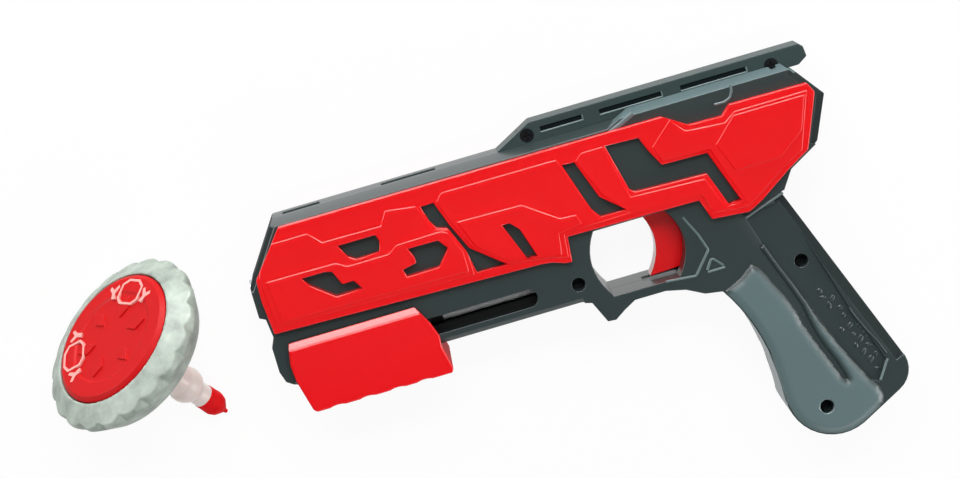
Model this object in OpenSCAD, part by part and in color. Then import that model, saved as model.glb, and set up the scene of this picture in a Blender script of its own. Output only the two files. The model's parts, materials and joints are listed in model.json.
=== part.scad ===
// Pump-action spinning top launcher, lying on its right side beside its top.
// X runs from the nose to the rear, Y from the grip to the sight rail, Z up out of the left side.

/* [Body] */
// Length of the body from the nose to the rear corner
body_l = 208; // [190:1:240]
// Height of the body side from the belly to the top edge
body_h = 57.4; // [54:0.2:66]
// Half of the width over the two side covers
half_w = 19.5; // [18.6:0.1:23]
// Half of the width over the two shells
shell_w = 15; // [14.6:0.1:16]
// Wall of the shells at the sides
wall = 2.2; // [1.6:0.1:2.4]
// Width of the flat strip along the top of the body, from the middle
top_flat = 6.4; // [6.3:0.1:8]
// Drop of the chamfer beside that strip
top_drop = 1.7; // [1:0.1:2.5]
// Height of the raised shoulders beside the sight rail
shoulder_h = 2.3; // [1:0.1:3]

/* [Side covers] */
// Height of each raised step on the covers
step_h = 0.5; // [0.3:0.1:0.8]
// Radius of the pegs that hold the covers
peg_r = 2; // [1.5:0.1:2.4]
// Length of the pegs below the cover
peg_l = 3.6; // [3:0.1:4]

/* [Sight rail] */
// Half of the width of the rail
rail_w = 6; // [5:0.1:6.2]
// Height of the rail above the body
rail_h = 7.1; // [6:0.1:9]
// Depth of the slots in the sides of the rail
rail_slot_d = 0.8; // [0.4:0.1:1.2]

/* [Launch spindle] */
// Radius of the socket that takes the top's stem
socket_r = 4.75; // [4.6:0.05:5]
// Depth of the socket
socket_d = 14.5; // [13:0.5:16]
// Outer radius of the socket barrel
barrel_r = 6; // [5.8:0.1:6.6]
// Radius of the spindle shaft behind the socket
shaft_r = 4; // [3.4:0.1:4.2]
// How far the barrel stands proud of the nose
nose_out = 0.6; // [0.4:0.1:1.2]
// Wall of the two spindle bushes
bush_t = 1.5; // [1.2:0.1:1.8]

/* [Gears] */
// Module of all gear teeth
gear_m = 1; // [0.95:0.01:1.03]
// Thickness of each spur gear
gear_t = 2.2; // [2:0.05:2.25]
// Width of the crown gear's toothed ring
crown_face = 2.6; // [2:0.1:2.8]
// Slack taken off each tooth
tooth_slack = 0.3; // [0.26:0.01:0.34]
// Height of the launch axis above the drive wheel's axis
wheel_drop = 4.5; // [4:0.1:6]
// Radius of the gear axles
axle_r = 1.5; // [1.2:0.1:1.6]

/* [Pump] */
// Length of the pump grip, as a share of the body's length
pump_share = 0.2572; // [0.24:0.001:0.275]
// Height of the pump grip, as a share of the body's height
pump_h_share = 0.444; // [0.43:0.002:0.5]
// Wall of the pump grip
pump_t = 2.6; // [2:0.1:2.8]
// Travel of the pump, as a share of the body's length
stroke_share = 0.1635; // [0.12:0.001:0.166]
// Radius of the guide rod
rod_r = 1.5; // [1.2:0.1:1.8]
// Height of the slot that the carriage arms run in
slot_h = 6.1; // [5.6:0.1:7]

/* [Trigger] */
// Half of the width of the trigger
trigger_w = 4.6; // [4:0.1:5]
// Angle that the trigger turns through
trigger_turn = 20; // [10:1:20]
// Radius of the trigger pin
pin_r = 1.25; // [1:0.05:1.4]
// Radius of the ejector rod
ejector_r = 1.5; // [1.2:0.05:1.6]

/* [Top] */
// Radius of the ring over its lobes
ring_r = 33; // [30:0.5:36]
// Thickness of the ring
ring_t = 14; // [12:0.5:16]
// Number of lobes round the ring
lobes = 20; // [16:1:24]
// Radius of the red face
face_r = 24.5; // [23:0.5:26]
// Distance from the tip to the back of the ring
stem_l = 45; // [42:0.5:48]
// Radius of the bulb on the stem
bulb_r = 6.5; // [6:0.1:7]
// Radius of the stem's neck
neck_r = 4.2; // [3.6:0.1:4.3]
// Length of the pointed tip
tip_l = 10; // [9:0.5:10.5]
// Radius of the tip's base
tip_r = 4.4; // [4:0.05:4.45]

/* [Screws] */
// Radius of the screw shanks
screw_r = 1.2; // [1:0.05:1.4]
// Radius of the screw heads
head_r = 2.3; // [2:0.1:2.4]
// Radius of the bosses that take the screws
boss_r = 4; // [3.6:0.1:4.4]

/* [Hidden] */

$fn = 48;
// Overrun of every cut past the face that it opens
cut = 1;
// Running clearance on a radius, and the looser gap between parts that pass each other
fit_c = 0.05;
gap = 0.3;

// Colours of the mouldings and metals
shell_grey = "#36444A";
cover_red = "#E3182A";
pump_red = "#DD1A28";
rail_grey = "#33403F";
nylon = "#1E2224";
steel = "#B9BEC2";
bronze = "#B08D4A";
acetal = "#E8E4DA";
ring_grey = "#B4C2BE";
milky = "#DCCFCB";

// Outline of the shells, as shares of the body's length and height, from the nose round to the belly
nose_shares = [[0, 0.052], [0.065, 0.399]];
rear_shares = [[0.959, 0.399], [1, 0.204], [0.969, -0.059], [0.913, -0.174], [0.889, -0.305]];
butt_rear_share = [0.971, -1.516, 0.046];
butt_front_share = [0.885, -1.533, 0.082];
strap_shares = [[0.803, -1.533], [0.806, -1.08], [0.75, -0.775]];
guard_shares = [[0.721, -0.758], [0.692, -0.702], [0.659, -0.674], [0.606, -0.674], [0.585, -0.715],
    [0.567, -0.758], [0.553, -0.754], [0.536, -0.618], [0.519, -0.601]];
foot_shares = [[0.03, -0.601], [0.012, -0.557], [0.006, -0.488], [0.006, -0.331], [0.014, -0.296],
    [0.010, -0.157], [0, -0.139]];
// Inside of the shells
cavity_shares = [[0.952, 0.357], [0.985, 0.202], [0.958, -0.028], [0.903, -0.139],
    [0.877, -0.296], [1.001, -1.40], [1.003, -1.50], [0.992, -1.59], [0.97, -1.64], [0.904, -1.74],
    [0.88, -1.785], [0.851, -1.763], [0.832, -1.69], [0.82, -1.585], [0.815, -1.50], [0.816, -1.368],
    [0.810, -1.167], [0.795, -0.976], [0.757, -0.735], [0.724, -0.716], [0.709, -0.688],
    [0.7236, -0.575], [0.727, -0.40], [0.721, -0.209], [0.707, -0.16], [0.543, -0.16], [0.54, -0.561],
    [0.038, -0.561], [0.019, -0.514], [0.019, -0.33],
    [0.026, -0.29], [0.026, -0.222]];
cavity_front_shares = [-0.222, 0.352];
// Finger opening: left and right curves
finger_left_shares = [[0.57, -0.2], [0.534, -0.4], [0.5745, -0.617]];
finger_right_shares = [[0.6875, -0.617], [0.733, -0.4], [0.692, -0.2]];
// Recessed panel on the grip's rear half, its screwed bosses and those under the covers
panel_shares = [[0.817, -0.366], [0.885, -0.34], [0.916, -0.732], [0.942, -1.051], [0.983, -1.463],
    [0.964, -1.585], [0.942, -1.551], [0.913, -1.284], [0.885, -1.019], [0.846, -0.702]];
boss_shares = [[0.5226, -0.486], [0.89, -0.732], [0.866, -1.634], [0.092, 0.25], [0.486, 0.2],
    [0.936, 0.13]];
// Outline of a side cover, its windows and its raised steps
cover_shares = [[0.0745, 0.366], [0.728, 0.359], [0.767, 0.267], [0.8245, 0.261], [0.841, 0.317],
    [0.973, 0.310], [0.982, 0.244], [0.947, -0.078], [0.909, -0.157], [0.853, -0.293], [0.827, -0.341],
    [0.764, -0.321], [0.751, -0.190], [0.527, -0.178], [0.523, -0.331], [0.512, -0.329], [0.490, -0.301],
    [0.471, -0.293], [0.018, -0.247], [0.013, -0.035], [0.0145, 0.096]];
window_shares = [
    [[0.160, 0.160], [0.2235, 0.160], [0.2275, 0.122], [0.2225, 0.057], [0.183, 0.052], [0.170, 0.084]],
    [[0.088, 0.033], [0.127, 0.033], [0.1385, 0.021], [0.149, -0.066], [0.168, -0.066], [0.179, -0.125],
        [0.1345, -0.129], [0.096, -0.017]],
    [[0.269, 0.026], [0.320, 0.024], [0.332, -0.035], [0.310, -0.131], [0.255, -0.134], [0.251, -0.087],
        [0.2755, -0.070], [0.2755, -0.035]],
    [[0.308, 0.244], [0.330, 0.247], [0.3455, 0.087], [0.3655, -0.073], [0.418, -0.233], [0.367, -0.230],
        [0.360, -0.087], [0.341, 0.077], [0.3235, 0.098], [0.3155, 0.148]],
    [[0.428, 0.003], [0.441, 0.003], [0.454, -0.049], [0.470, -0.232], [0.453, -0.232], [0.4375, -0.087]],
    [[0.5495, 0.247], [0.5705, 0.244], [0.5945, 0.003], [0.632, -0.118], [0.588, -0.115], [0.576, -0.052]],
    [[0.6265, 0.284], [0.6825, 0.275], [0.691, 0.195], [0.708, 0.080], [0.785, 0.073], [0.818, -0.254],
        [0.797, -0.258], [0.7755, -0.045], [0.654, -0.030], [0.6455, -0.003]]];
low_step_shares = [
    [[0.04, 0.285], [0.118, 0.285], [0.137, 0.209], [0.236, 0.204], [0.25, 0.285], [0.30, 0.26],
        [0.303, 0.244], [0.3155, 0.1], [0.341, 0.07], [0.362, -0.087], [0.362, -0.24], [0.024, -0.21],
        [0.02, 0.1]],
    [[0.335, 0.247], [0.346, 0.295], [0.543, 0.29], [0.57, 0], [0.5855, -0.135], [0.523, -0.16],
        [0.519, -0.30], [0.49, -0.27], [0.422, -0.24], [0.3695, -0.073], [0.35, 0.087]],
    [[0.572, 0.247], [0.585, 0.288], [0.622, 0.288], [0.645, -0.05], [0.77, -0.07], [0.79, -0.27],
        [0.825, -0.27], [0.79, 0.09], [0.71, 0.1], [0.70, 0.2], [0.74, 0.33], [0.76, 0.24], [0.825, 0.22],
        [0.846, 0.27], [0.97, 0.27], [0.937, -0.07], [0.9, -0.14], [0.85, -0.26], [0.825, -0.31],
        [0.77, -0.29], [0.757, -0.16], [0.532, -0.15], [0.635, -0.14], [0.60, 0.01]]];
high_step_shares = [
    [[0.03, 0.073], [0.148, 0.068], [0.165, 0.03], [0.236, 0.03], [0.252, 0.07], [0.33, 0.073],
        [0.34, 0.05], [0.355, -0.087], [0.355, -0.21], [0.035, -0.19]],
    [[0.358, 0.1], [0.468, 0.09], [0.522, -0.052], [0.55, -0.06], [0.555, -0.12], [0.515, -0.14],
        [0.51, -0.27], [0.422, -0.215], [0.376, -0.073]],
    [[0.802, 0.11], [0.842, 0.25], [0.964, 0.25], [0.945, 0.05], [0.9, -0.075], [0.822, -0.075]]];
peg_shares = [[0.137, 0.305], [0.442, 0.105], [0.721, -0.113], [0.874, 0.02]];
// Outline of the sight rail above the body, its side slots and its two screws
rail_shares = [[0.454, 0], [0.519, 1], [0.983, 1], [0.99, 0.8], [0.992, 0.3], [0.976, 0]];
rail_slot_shares = [[0.534, 0.605, 0.42], [0.636, 0.742, 0.42], [0.776, 0.888, 0.42]];
rail_screw_shares = [[0.5095, 0.38], [0.931, 0.34]];
rail_tongue_share = 0.028;
tongue_h_share = 0.62;
shoulder_shares = [[0.635, 0], [0.68, 1], [0.945, 1], [0.962, 0]];
// Two dark slots in the top strip, from their front to their rear end
vent_shares = [[0.083, 0.147], [0.254, 0.348]];
slot_h_share = 0.2;
// Outline of the pump grip, as shares of its length and height
pump_shares = [[0.026, 0], [0, -0.282], [0.0075, -0.518], [0.06, -0.961], [0.082, -1], [0.987, -1],
    [1, -0.949], [0.966, -0.616], [0.974, -0.478], [0.938, -0.263], [0.869, 0]];
pump_groove_shares = [0.22, 0.42, 0.62, 0.8];
// Height of the launch axis and of the guide rod, and the trigger's pin
axis_share = -0.0436;
rod_share = -0.4835;
pivot_shares = [0.6587, -0.1533];
blade_front_shares = [[0.651, -0.183], [0.6875, -0.4], [0.643, -0.596]];
blade_rear_shares = [[0.709, -0.584], [0.7355, -0.383], [0.714, -0.192]];
function at(s) = [s[0] * body_l, s[1] * body_h];
function pts(list) = [for (s = list) at(s)];
function bez(p, n) = [for (i = [0 : n]) let (t = i / n)
    (1 - t) * (1 - t) * p[0] + 2 * t * (1 - t) * p[1] + t * t * p[2]];
function arc(c, r, from, to, n) = [for (i = [0 : n]) let (a = from + (to - from) * i / n)
    [c[0] + r * cos(a), c[1] + r * sin(a)]];

axis_y = axis_share * body_h;
rod_y = rod_share * body_h;
pivot = at(pivot_shares);
top_y = nose_shares[1][1] * body_h;
curve_n = 10;
// Depth of a screw's seat below the inside of the shell's wall, and its head with a cross recess
head_seat = 5;
head_h = 1.5;
head_c = 0.1;
cross_share = 0.65;
cross_w_share = 0.13;
cross_d = 0.8;
tip_room = 1;
tongue_c = 0.1;

// Bevels along the edges of the shells, and the recessed panel of the grip
nose_bevel = 1.6;
back_bevel = 2.4;
low_bevel = 3;
facet_over = 0.7;
strap_bevel = 3;
butt_bevel = 4;
belly_bevel = 1.6;
panel_d = 1.5;
facet_w = 5;
facet_d = 1.2;
vent_d = 1.2;
vent_w = 3;
strap_bend_share = [0.803, -1.2];
butt_bend_share = [1.015, -1.44];
facet_from_share = [0.944, -1.545];
facet_bend_share = [0.8875, -1.012];
facet_to_share = [0.82, -0.36];

shell_outline = concat(pts(nose_shares), pts(rear_shares),
    arc(at(butt_rear_share), butt_rear_share[2] * body_l, 15, -62, 6),
    arc(at(butt_front_share), butt_front_share[2] * body_l, -65, -180, 12),
    bez(pts(strap_shares), curve_n), pts(guard_shares), pts(foot_shares));
finger_outline = concat(bez(pts(finger_left_shares), curve_n), bez(pts(finger_right_shares), curve_n));

// Spindle, along X on the launch axis
bush_l = 7;
front_bush_x = 3;
rear_bush_l = 5;
shaft_x = socket_d + 1;
rear_bush_x = shaft_x + gap;
pinion_x = rear_bush_x + rear_bush_l + gap;
pinion_w = 4;
bore_r = ejector_r + 0.2;
block_y = barrel_r + bush_t + 2;
ring_w = 2;
ring_rim = 0.6;
journal_t = 1.2;
press_c = 0.02;

// Gear train: rack, drive wheel, crown wheel, spindle pinion
rack_pinion_n = 16;
wheel_n = 32;
small_n = 12;
crown_n = 30;
spindle_n = 10;
pressure = 20;
addendum_share = 0.85;
dedendum_share = 1.2;
crown_r = crown_n * gear_m / 2;
crown_x = pinion_x + pinion_w / 2 + crown_r;
wheel_y = axis_y - wheel_drop;
pair_d = (wheel_n + small_n) * gear_m / 2;
wheel_x = crown_x + sqrt(pair_d * pair_d - wheel_drop * wheel_drop);
mesh_a = atan2(wheel_drop, crown_x - wheel_x);
rack_y = wheel_y - rack_pinion_n * gear_m / 2;
inner_w = shell_w - wall;
layer_gap = 0.2;
layer_a = -inner_w + 2 * layer_gap;
layer_b = layer_a + gear_t + layer_gap;
crown_z = layer_b + gear_t + layer_gap;
crown_pitch_z = -spindle_n * gear_m / 2;
crown_root_z = crown_pitch_z - dedendum_share * gear_m;
rack_back = 3.8;
rack_over = 4;
axle_seat = 1.4;
hub_t = 2;
root_sink = 0.01;

// Pump, carriage and guide rod
pump_l = pump_share * body_l;
pump_x_share = 0.028;
pump_x = pump_x_share * body_l;
stroke = stroke_share * body_l;
pump_rise_share = 0.156;
pump_top = rod_y + pump_rise_share * body_h;
pump_h = pump_h_share * body_h;
carriage_share = 0.187;
carriage_l = carriage_share * pump_l;
carriage_x = pump_x + 0.75 * pump_l;
carriage_h = slot_h - 3 * gap;
sleeve_out = 4.6;
slot_over = 1;
slot_end = carriage_x + carriage_l + stroke + slot_h / 2 + slot_over;
slot_start = carriage_x - 2 * carriage_l;
rod_block = 5;
rod_block_h = 3.4;
rod_start = 4.2;
rod_lid = 0.5;
rear_block_x = slot_end + 2;
rod_end = rear_block_x + rod_block - rod_lid;
pump_floor = 3;
pump_inner = half_w - pump_t;
pump_mouth_y = foot_shares[0][1] * body_h - 2 * gap;
arm_bite = 1.1;
bite_c = 0.05;
pump_boss_r = 3.2;
pump_screw_x = [pump_x + 0.23 * pump_l, pump_x + 0.79 * pump_l];
pump_screw_y = pump_top - pump_h + pump_floor + pump_boss_r - fit_c;
screw_floor = 3;
groove_r = 9;
groove_d = 0.45;
lip = 2.4;
lip_d = 2;
rod_run = 0.06;
web_drop = 0.5;

// Trigger and ejector
arm_l = axis_y - pivot[1];
hub_r = 2.9;
nub_r = 2;
neck_w = 2;
collar_r = 3;
collar_t = 1.5;
collar_gap = 0.25;
ejector_start = socket_d + gap;
ejector_end = pivot[0] + nub_r + collar_gap + collar_t;
trigger_slot = trigger_w + 0.7;
trigger_slot_x = at(blade_front_shares[2])[0] - 2.6;
trigger_slot_l = at(blade_rear_shares[1])[0] - trigger_slot_x;
trigger_slot_low = at(finger_left_shares[2])[1] - 0.5;
trigger_slot_high = pivot[1] + 5;
pin_lid = 1;
pin_boss_t = 2;
rib_h = 10;
rod_rib_x = at(finger_left_shares[0])[0] - wall / 2;
rod_rib_h = 7;
rod_rib_top = 3;

// Springs
wire_r = 0.35;
return_r = 2.4;
return_z = 7;
return_y = rod_y + 6.6;
lug_t = 2;
post_x = 7.2;
return_x = post_x + lug_t + wire_r;
return_end = carriage_x - lug_t;
return_turns = 22;
trigger_drop_share = 0.16;
trigger_spring_y = pivot[1] - trigger_drop_share * body_h;
trigger_spring_r = 2.2;
trigger_spring_c = 0.1;
trigger_spring_x = bez(pts(blade_rear_shares), 2)[1][0] + trigger_spring_c;
trigger_spring_l = 9.4;
trigger_turns = 5;
rib_x = trigger_spring_x + trigger_spring_l;

// Top, lying on its ring and its tip
tip_nose_r = 0.8;
ring_low = 8;
ring_low_l = stem_l + ring_low;
lobe_r = 7;
lobe_bite = 2;
ring_floor = 2;
seat_lip = 0.8;
seat_c = 0.4;
plate_t = 2.4;
plate_l = stem_l + ring_t - 2.6;
cap_l = plate_l + 3.6;
cap_bevel = 1.6;
cap_sink = 0.6;
cavity_in = 1.4;
weight_c = 0.2;
weight_t = 4;
post_t = 1.4;
spigot_in = 1.6;
spigot_l = 4;
bulb_rise = 1.6;
flange_rise = 2.5;
flange_t = 2;
seam_c = 0.05;
tip_rise = 0.1;
lobe_seat = ring_r - lobe_r;
lie_reach = norm([ring_low_l - tip_nose_r, ring_r]);
lie_a = atan(ring_r / (ring_low_l - tip_nose_r)) - asin(tip_nose_r / lie_reach);
top_place_shares = [-0.113, -0.747];
top_turn = 122.5;

// The frame's origin is the middle of the socket's mouth
module seat_in_frame() {
    translate([nose_out, -axis_y, 0]) children();
}

module seat_on_table() {
    p = at(top_place_shares);
    translate([p[0] + nose_out, p[1] - axis_y, tip_nose_r * (1 - sin(lie_a)) - half_w])
        rotate([0, 90 - lie_a, top_turn]) children();
}

module along_x(x, y = axis_y, z = 0) {
    translate([x, y, z]) rotate([0, 90, 0]) children();
}

// Wedge that bevels the outer edge from p to q of an outline whose inside is on the left of that line
module edge_wedge(p, q, w, d, z, over = 0) {
    e = q - p;
    translate([p[0], p[1], z]) rotate([0, 0, atan2(e[1], e[0])]) translate([-over, 0, 0])
        rotate([90, 0, 90]) linear_extrude(norm(e) + 2 * over)
            polygon([[w, 0], [w, cut], [-cut, cut], [-cut, -d - d * cut / w]]);
}

module screw_hole(p, side) {
    translate([p[0], p[1], -cut]) cylinder(r = screw_r + fit_c, h = inner_w - screw_floor + cut);
    if (side > 0)
        translate([p[0], p[1], inner_w - head_seat]) cylinder(r = head_r + fit_c, h = shell_w);
}

module shell_bosses() {
    for (s = boss_shares) translate([at(s)[0], at(s)[1], 0]) cylinder(r = boss_r, h = inner_w);
    translate([pivot[0], pivot[1], trigger_slot])
        cylinder(r = pin_r + pin_boss_t, h = inner_w - trigger_slot);
    translate([front_bush_x, axis_y - block_y, 0])
        cube([pinion_x - 2 * gap - front_bush_x, 2 * block_y, inner_w]);
    for (x = [rod_start - rod_lid, rear_block_x])
        translate([x, rod_y - rod_block_h, 0]) cube([rod_block, 2 * rod_block_h, inner_w]);
    translate([rib_x, trigger_spring_y - rib_h / 2, 0]) cube([wall, rib_h, inner_w]);
    translate([rod_rib_x, axis_y - rod_rib_h, 0]) cube([wall, rod_rib_h + rod_rib_top, inner_w]);
    translate([post_x, return_y, 0]) cylinder(r = lug_t, h = inner_w);
}

module shell_cuts() {
    along_x(-cut) cylinder(r = barrel_r + gap, h = shaft_x + cut + gap);
    along_x(front_bush_x) cylinder(r = barrel_r + bush_t + fit_c, h = bush_l);
    along_x(rear_bush_x) cylinder(r = shaft_r + bush_t + fit_c, h = rear_bush_l);
    along_x(shaft_x) cylinder(r = shaft_r + gap, h = pinion_x - shaft_x);
    along_x(rod_rib_x - cut) cylinder(r = ejector_r + fit_c, h = wall + 2 * cut);
    along_x(rod_start, rod_y) cylinder(r = rod_r + press_c, h = rod_end - rod_start);
    translate([pivot[0], pivot[1], -cut]) cylinder(r = pin_r + press_c, h = shell_w - pin_lid + cut);
    translate([wheel_x, wheel_y, inner_w - cut]) cylinder(r = axle_r + press_c, h = axle_seat + cut);
}

module slot_cut() {
    hull_x = slot_end - slot_h / 2;
    translate([slot_start, rod_y - slot_h / 2, inner_w - cut])
        cube([hull_x - slot_start, slot_h, wall + 2 * cut]);
    for (x = [slot_start, hull_x])
        translate([x, rod_y, inner_w - cut]) cylinder(r = slot_h / 2, h = wall + 2 * cut);
}

// Half of the body for z above 0; the right half is its mirror
module shell_half(side) {
    front = pts(nose_shares);
    rear = pts(rear_shares);
    tongue_l = rail_tongue_share * body_l;
    difference() {
        union() {
            difference() {
                linear_extrude(shell_w) polygon(shell_outline);
                edge_wedge(rear[0], front[1], top_drop, shell_w - top_flat, shell_w, cut);
                linear_extrude(inner_w) polygon(concat(pts(cavity_shares),
                    [for (s = cavity_front_shares) [pinion_x - gap, s * body_h]]));
            }
            difference() {
                translate([0, 0, rail_w + gap]) linear_extrude(shell_w - rail_w - gap)
                    polygon([for (s = shoulder_shares) [s[0] * body_l, top_y - 2 * cut + s[1]
                        * (shoulder_h + 2 * cut)]]);
                edge_wedge([shoulder_shares[3][0] * body_l, top_y + shoulder_h],
                    [shoulder_shares[0][0] * body_l, top_y + shoulder_h], top_drop, shell_w - top_flat,
                    shell_w, cut);
            }
            intersection() {
                shell_bosses();
                translate([0, 0, -cut]) linear_extrude(shell_w) polygon(shell_outline);
            }
            for (s = rail_screw_shares) translate([s[0] * body_l - tongue_l / 2, top_y - cut, 0])
                cube([tongue_l, rail_h * tongue_h_share + cut, rail_w / 3]);
        }
        translate([0, 0, -cut]) linear_extrude(shell_w + 2 * cut) polygon(finger_outline);
        translate([trigger_slot_x, trigger_slot_low, -cut])
            cube([trigger_slot_l, trigger_slot_high - trigger_slot_low, trigger_slot + cut]);
        translate([0, 0, shell_w - panel_d]) linear_extrude(panel_d + cut) polygon(pts(panel_shares));
        edge_wedge(at(facet_from_share), at(facet_bend_share), facet_w, facet_d, shell_w, 0);
        edge_wedge(at(facet_bend_share), at(facet_to_share), facet_w, facet_d, shell_w, facet_over);
        edge_wedge(front[1], front[0], nose_bevel, nose_bevel, shell_w, cut);
        edge_wedge(rear[2], rear[1], low_bevel, low_bevel, shell_w, cut);
        edge_wedge(rear[1], rear[0], back_bevel, back_bevel, shell_w, cut);
        edge_wedge(at(strap_bend_share), at(strap_shares[0]), strap_bevel, strap_bevel, shell_w, cut);
        edge_wedge(at(butt_bend_share), rear[4], butt_bevel, butt_bevel, shell_w, cut);
        edge_wedge(at(foot_shares[0]), at(guard_shares[8]), belly_bevel, belly_bevel, shell_w, cut);
        shell_cuts();
        slot_cut();
        for (s = boss_shares) screw_hole(at(s), side);
        for (s = peg_shares) translate([at(s)[0], at(s)[1], inner_w - cut])
            cylinder(r = peg_r + press_c, h = wall + 2 * cut);
        for (s = rail_screw_shares) translate([s[0] * body_l, top_y + s[1] * rail_h, -cut])
            cylinder(r = screw_r + fit_c, h = shell_w);
        for (s = vent_shares) translate([s[0] * body_l, top_y - vent_d, -cut])
            cube([(s[1] - s[0]) * body_l, vent_d + cut, vent_w + cut]);
    }
}

module left_shell() {
    color(shell_grey) seat_in_frame() shell_half(1);
}

module right_shell() {
    color(shell_grey) seat_in_frame() difference() {
        mirror([0, 0, 1]) shell_half(-1);
        translate([crown_x, axis_y, -inner_w - axle_seat]) cylinder(r = axle_r + press_c, h = wall + cut);
    }
}

module cover_half() {
    low = half_w - 2 * step_h;
    difference() {
        union() {
            translate([0, 0, shell_w]) linear_extrude(low - shell_w) polygon(pts(cover_shares));
            intersection() {
                translate([0, 0, shell_w]) linear_extrude(half_w) polygon(pts(cover_shares));
                union() {
                    for (s = low_step_shares) translate([0, 0, low - cut]) linear_extrude(step_h + cut)
                        polygon(pts(s));
                    for (s = high_step_shares) translate([0, 0, low - cut])
                        linear_extrude(2 * step_h + cut) polygon(pts(s));
                }
            }
            for (s = peg_shares) translate([at(s)[0], at(s)[1], shell_w - peg_l])
                cylinder(r = peg_r, h = peg_l + cut);
        }
        for (s = window_shares) translate([0, 0, shell_w - cut]) linear_extrude(half_w) polygon(pts(s));
    }
}

module left_cover() {
    color(cover_red) seat_in_frame() cover_half();
}

module right_cover() {
    color(cover_red) seat_in_frame() mirror([0, 0, 1]) cover_half();
}

module sight_rail() {
    tongue_l = rail_tongue_share * body_l + 2 * tongue_c;
    color(rail_grey) seat_in_frame() difference() {
        translate([0, 0, -rail_w]) linear_extrude(2 * rail_w)
            polygon([for (s = rail_shares) [s[0] * body_l, top_y + s[1] * rail_h]]);
        for (s = rail_slot_shares) for (z = [rail_w - rail_slot_d, -rail_w - cut])
            translate([s[0] * body_l, top_y + s[2] * rail_h, z])
                cube([(s[1] - s[0]) * body_l, slot_h_share * rail_h, rail_slot_d + cut]);
        for (s = rail_screw_shares) translate([s[0] * body_l, top_y, 0]) {
            translate([-tongue_l / 2, -cut, -rail_w / 3 - tongue_c])
                cube([tongue_l, rail_h * tongue_h_share + cut + tongue_c, rail_w / 1.5 + 2 * tongue_c]);
            translate([0, s[1] * rail_h, -rail_w + tip_room]) cylinder(r = screw_r + fit_c, h = 2 * rail_w);
            translate([0, s[1] * rail_h, rail_w - head_h]) cylinder(r = head_r + fit_c, h = head_h + cut);
        }
    }
}

// Screw with its head's underside at the origin, pointing down
module screw(l) {
    difference() {
        cylinder(r = head_r, h = head_h);
        for (a = [0, 90]) rotate([0, 0, a])
            translate([-head_r * cross_share, -head_r * cross_w_share, head_h - cross_d])
                cube([2 * head_r * cross_share, 2 * head_r * cross_w_share, cross_d + cut]);
    }
    translate([0, 0, -l]) cylinder(r = screw_r, h = l + head_h / 3);
}

module shell_screws() {
    color(steel) seat_in_frame() for (s = boss_shares)
        translate([at(s)[0], at(s)[1], inner_w - head_seat])
            screw(2 * inner_w - head_seat - screw_floor - tip_room);
}

module rail_screws() {
    color(steel) seat_in_frame() for (s = rail_screw_shares)
        translate([s[0] * body_l, top_y + s[1] * rail_h, rail_w - head_h])
            screw(2 * rail_w - head_h - 2 * tip_room);
}

module bush(x, inner, l) {
    color(bronze) seat_in_frame() along_x(x) difference() {
        cylinder(r = inner + bush_t, h = l);
        translate([0, 0, -cut]) cylinder(r = inner + fit_c, h = l + 2 * cut);
    }
}

module front_bush() {
    bush(front_bush_x, barrel_r, bush_l);
}

module rear_bush() {
    bush(rear_bush_x, shaft_r, rear_bush_l);
}

module guide_rod() {
    color(steel) seat_in_frame() along_x(rod_start, rod_y) cylinder(r = rod_r, h = rod_end - rod_start);
}

module wheel_axle() {
    color(steel) seat_in_frame() translate([wheel_x, wheel_y, -inner_w - axle_seat])
        cylinder(r = axle_r, h = 2 * (inner_w + axle_seat));
}

module crown_axle() {
    color(steel) seat_in_frame() translate([crown_x, axis_y, -inner_w - axle_seat])
        cylinder(r = axle_r, h = inner_w + axle_seat - shaft_r - gap);
}

module trigger_pin() {
    color(steel) seat_in_frame() translate([pivot[0], pivot[1], -shell_w + pin_lid])
        cylinder(r = pin_r, h = 2 * (shell_w - pin_lid));
}

// Gear outline, with a tooth centred on +X
function involute(base, t) = [base * (cos(t) + t * PI / 180 * sin(t)), base * (sin(t) - t * PI / 180 * cos(t))];
function turned(p, a) = [p[0] * cos(a) - p[1] * sin(a), p[0] * sin(a) + p[1] * cos(a)];
function gear_points(n) =
    let (pitch_r = n * gear_m / 2,
        base = pitch_r * cos(pressure),
        tip = pitch_r + addendum_share * gear_m,
        root = pitch_r - dedendum_share * gear_m,
        low = max(base, root),
        t_tip = sqrt(tip * tip / (base * base) - 1) * 180 / PI,
        t_low = low > base ? sqrt(low * low / (base * base) - 1) * 180 / PI : 0,
        t_pitch = tan(pressure) * 180 / PI,
        pitch_p = involute(base, t_pitch),
        half = 90 / n - tooth_slack / 2 / pitch_r * 180 / PI,
        lead = -half - atan2(pitch_p[1], pitch_p[0]),
        flank = concat([turned([root, 0], lead)],
            [for (i = [0 : 3]) turned(involute(base, t_low + (t_tip - t_low) * i / 3), lead)]))
    [for (k = [0 : n - 1]) each [
        for (p = flank) turned(p, k * 360 / n),
        for (i = [4 : -1 : 0]) turned([flank[i][0], -flank[i][1]], k * 360 / n)]];

module gear(n, t, turn) {
    rotate([0, 0, turn]) linear_extrude(t) polygon(gear_points(n));
}

module drive_wheel() {
    hole_share = 0.36;
    hole_r_share = 2.2;
    color(acetal) seat_in_frame() translate([wheel_x, wheel_y, 0]) difference() {
        union() {
            translate([0, 0, layer_a]) gear(rack_pinion_n, gear_t + layer_gap, 0);
            translate([0, 0, layer_b]) gear(wheel_n, gear_t, mesh_a);
            translate([0, 0, layer_b]) cylinder(r = axle_r + hub_t, h = gear_t + hub_t);
        }
        translate([0, 0, -shell_w]) cylinder(r = axle_r + fit_c, h = 2 * shell_w);
        for (a = [0 : 60 : 300]) rotate([0, 0, a])
            translate([wheel_n * gear_m * hole_share, 0, layer_b - cut])
                cylinder(r = gear_m * hole_r_share, h = gear_t + 2 * cut);
    }
}

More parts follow.
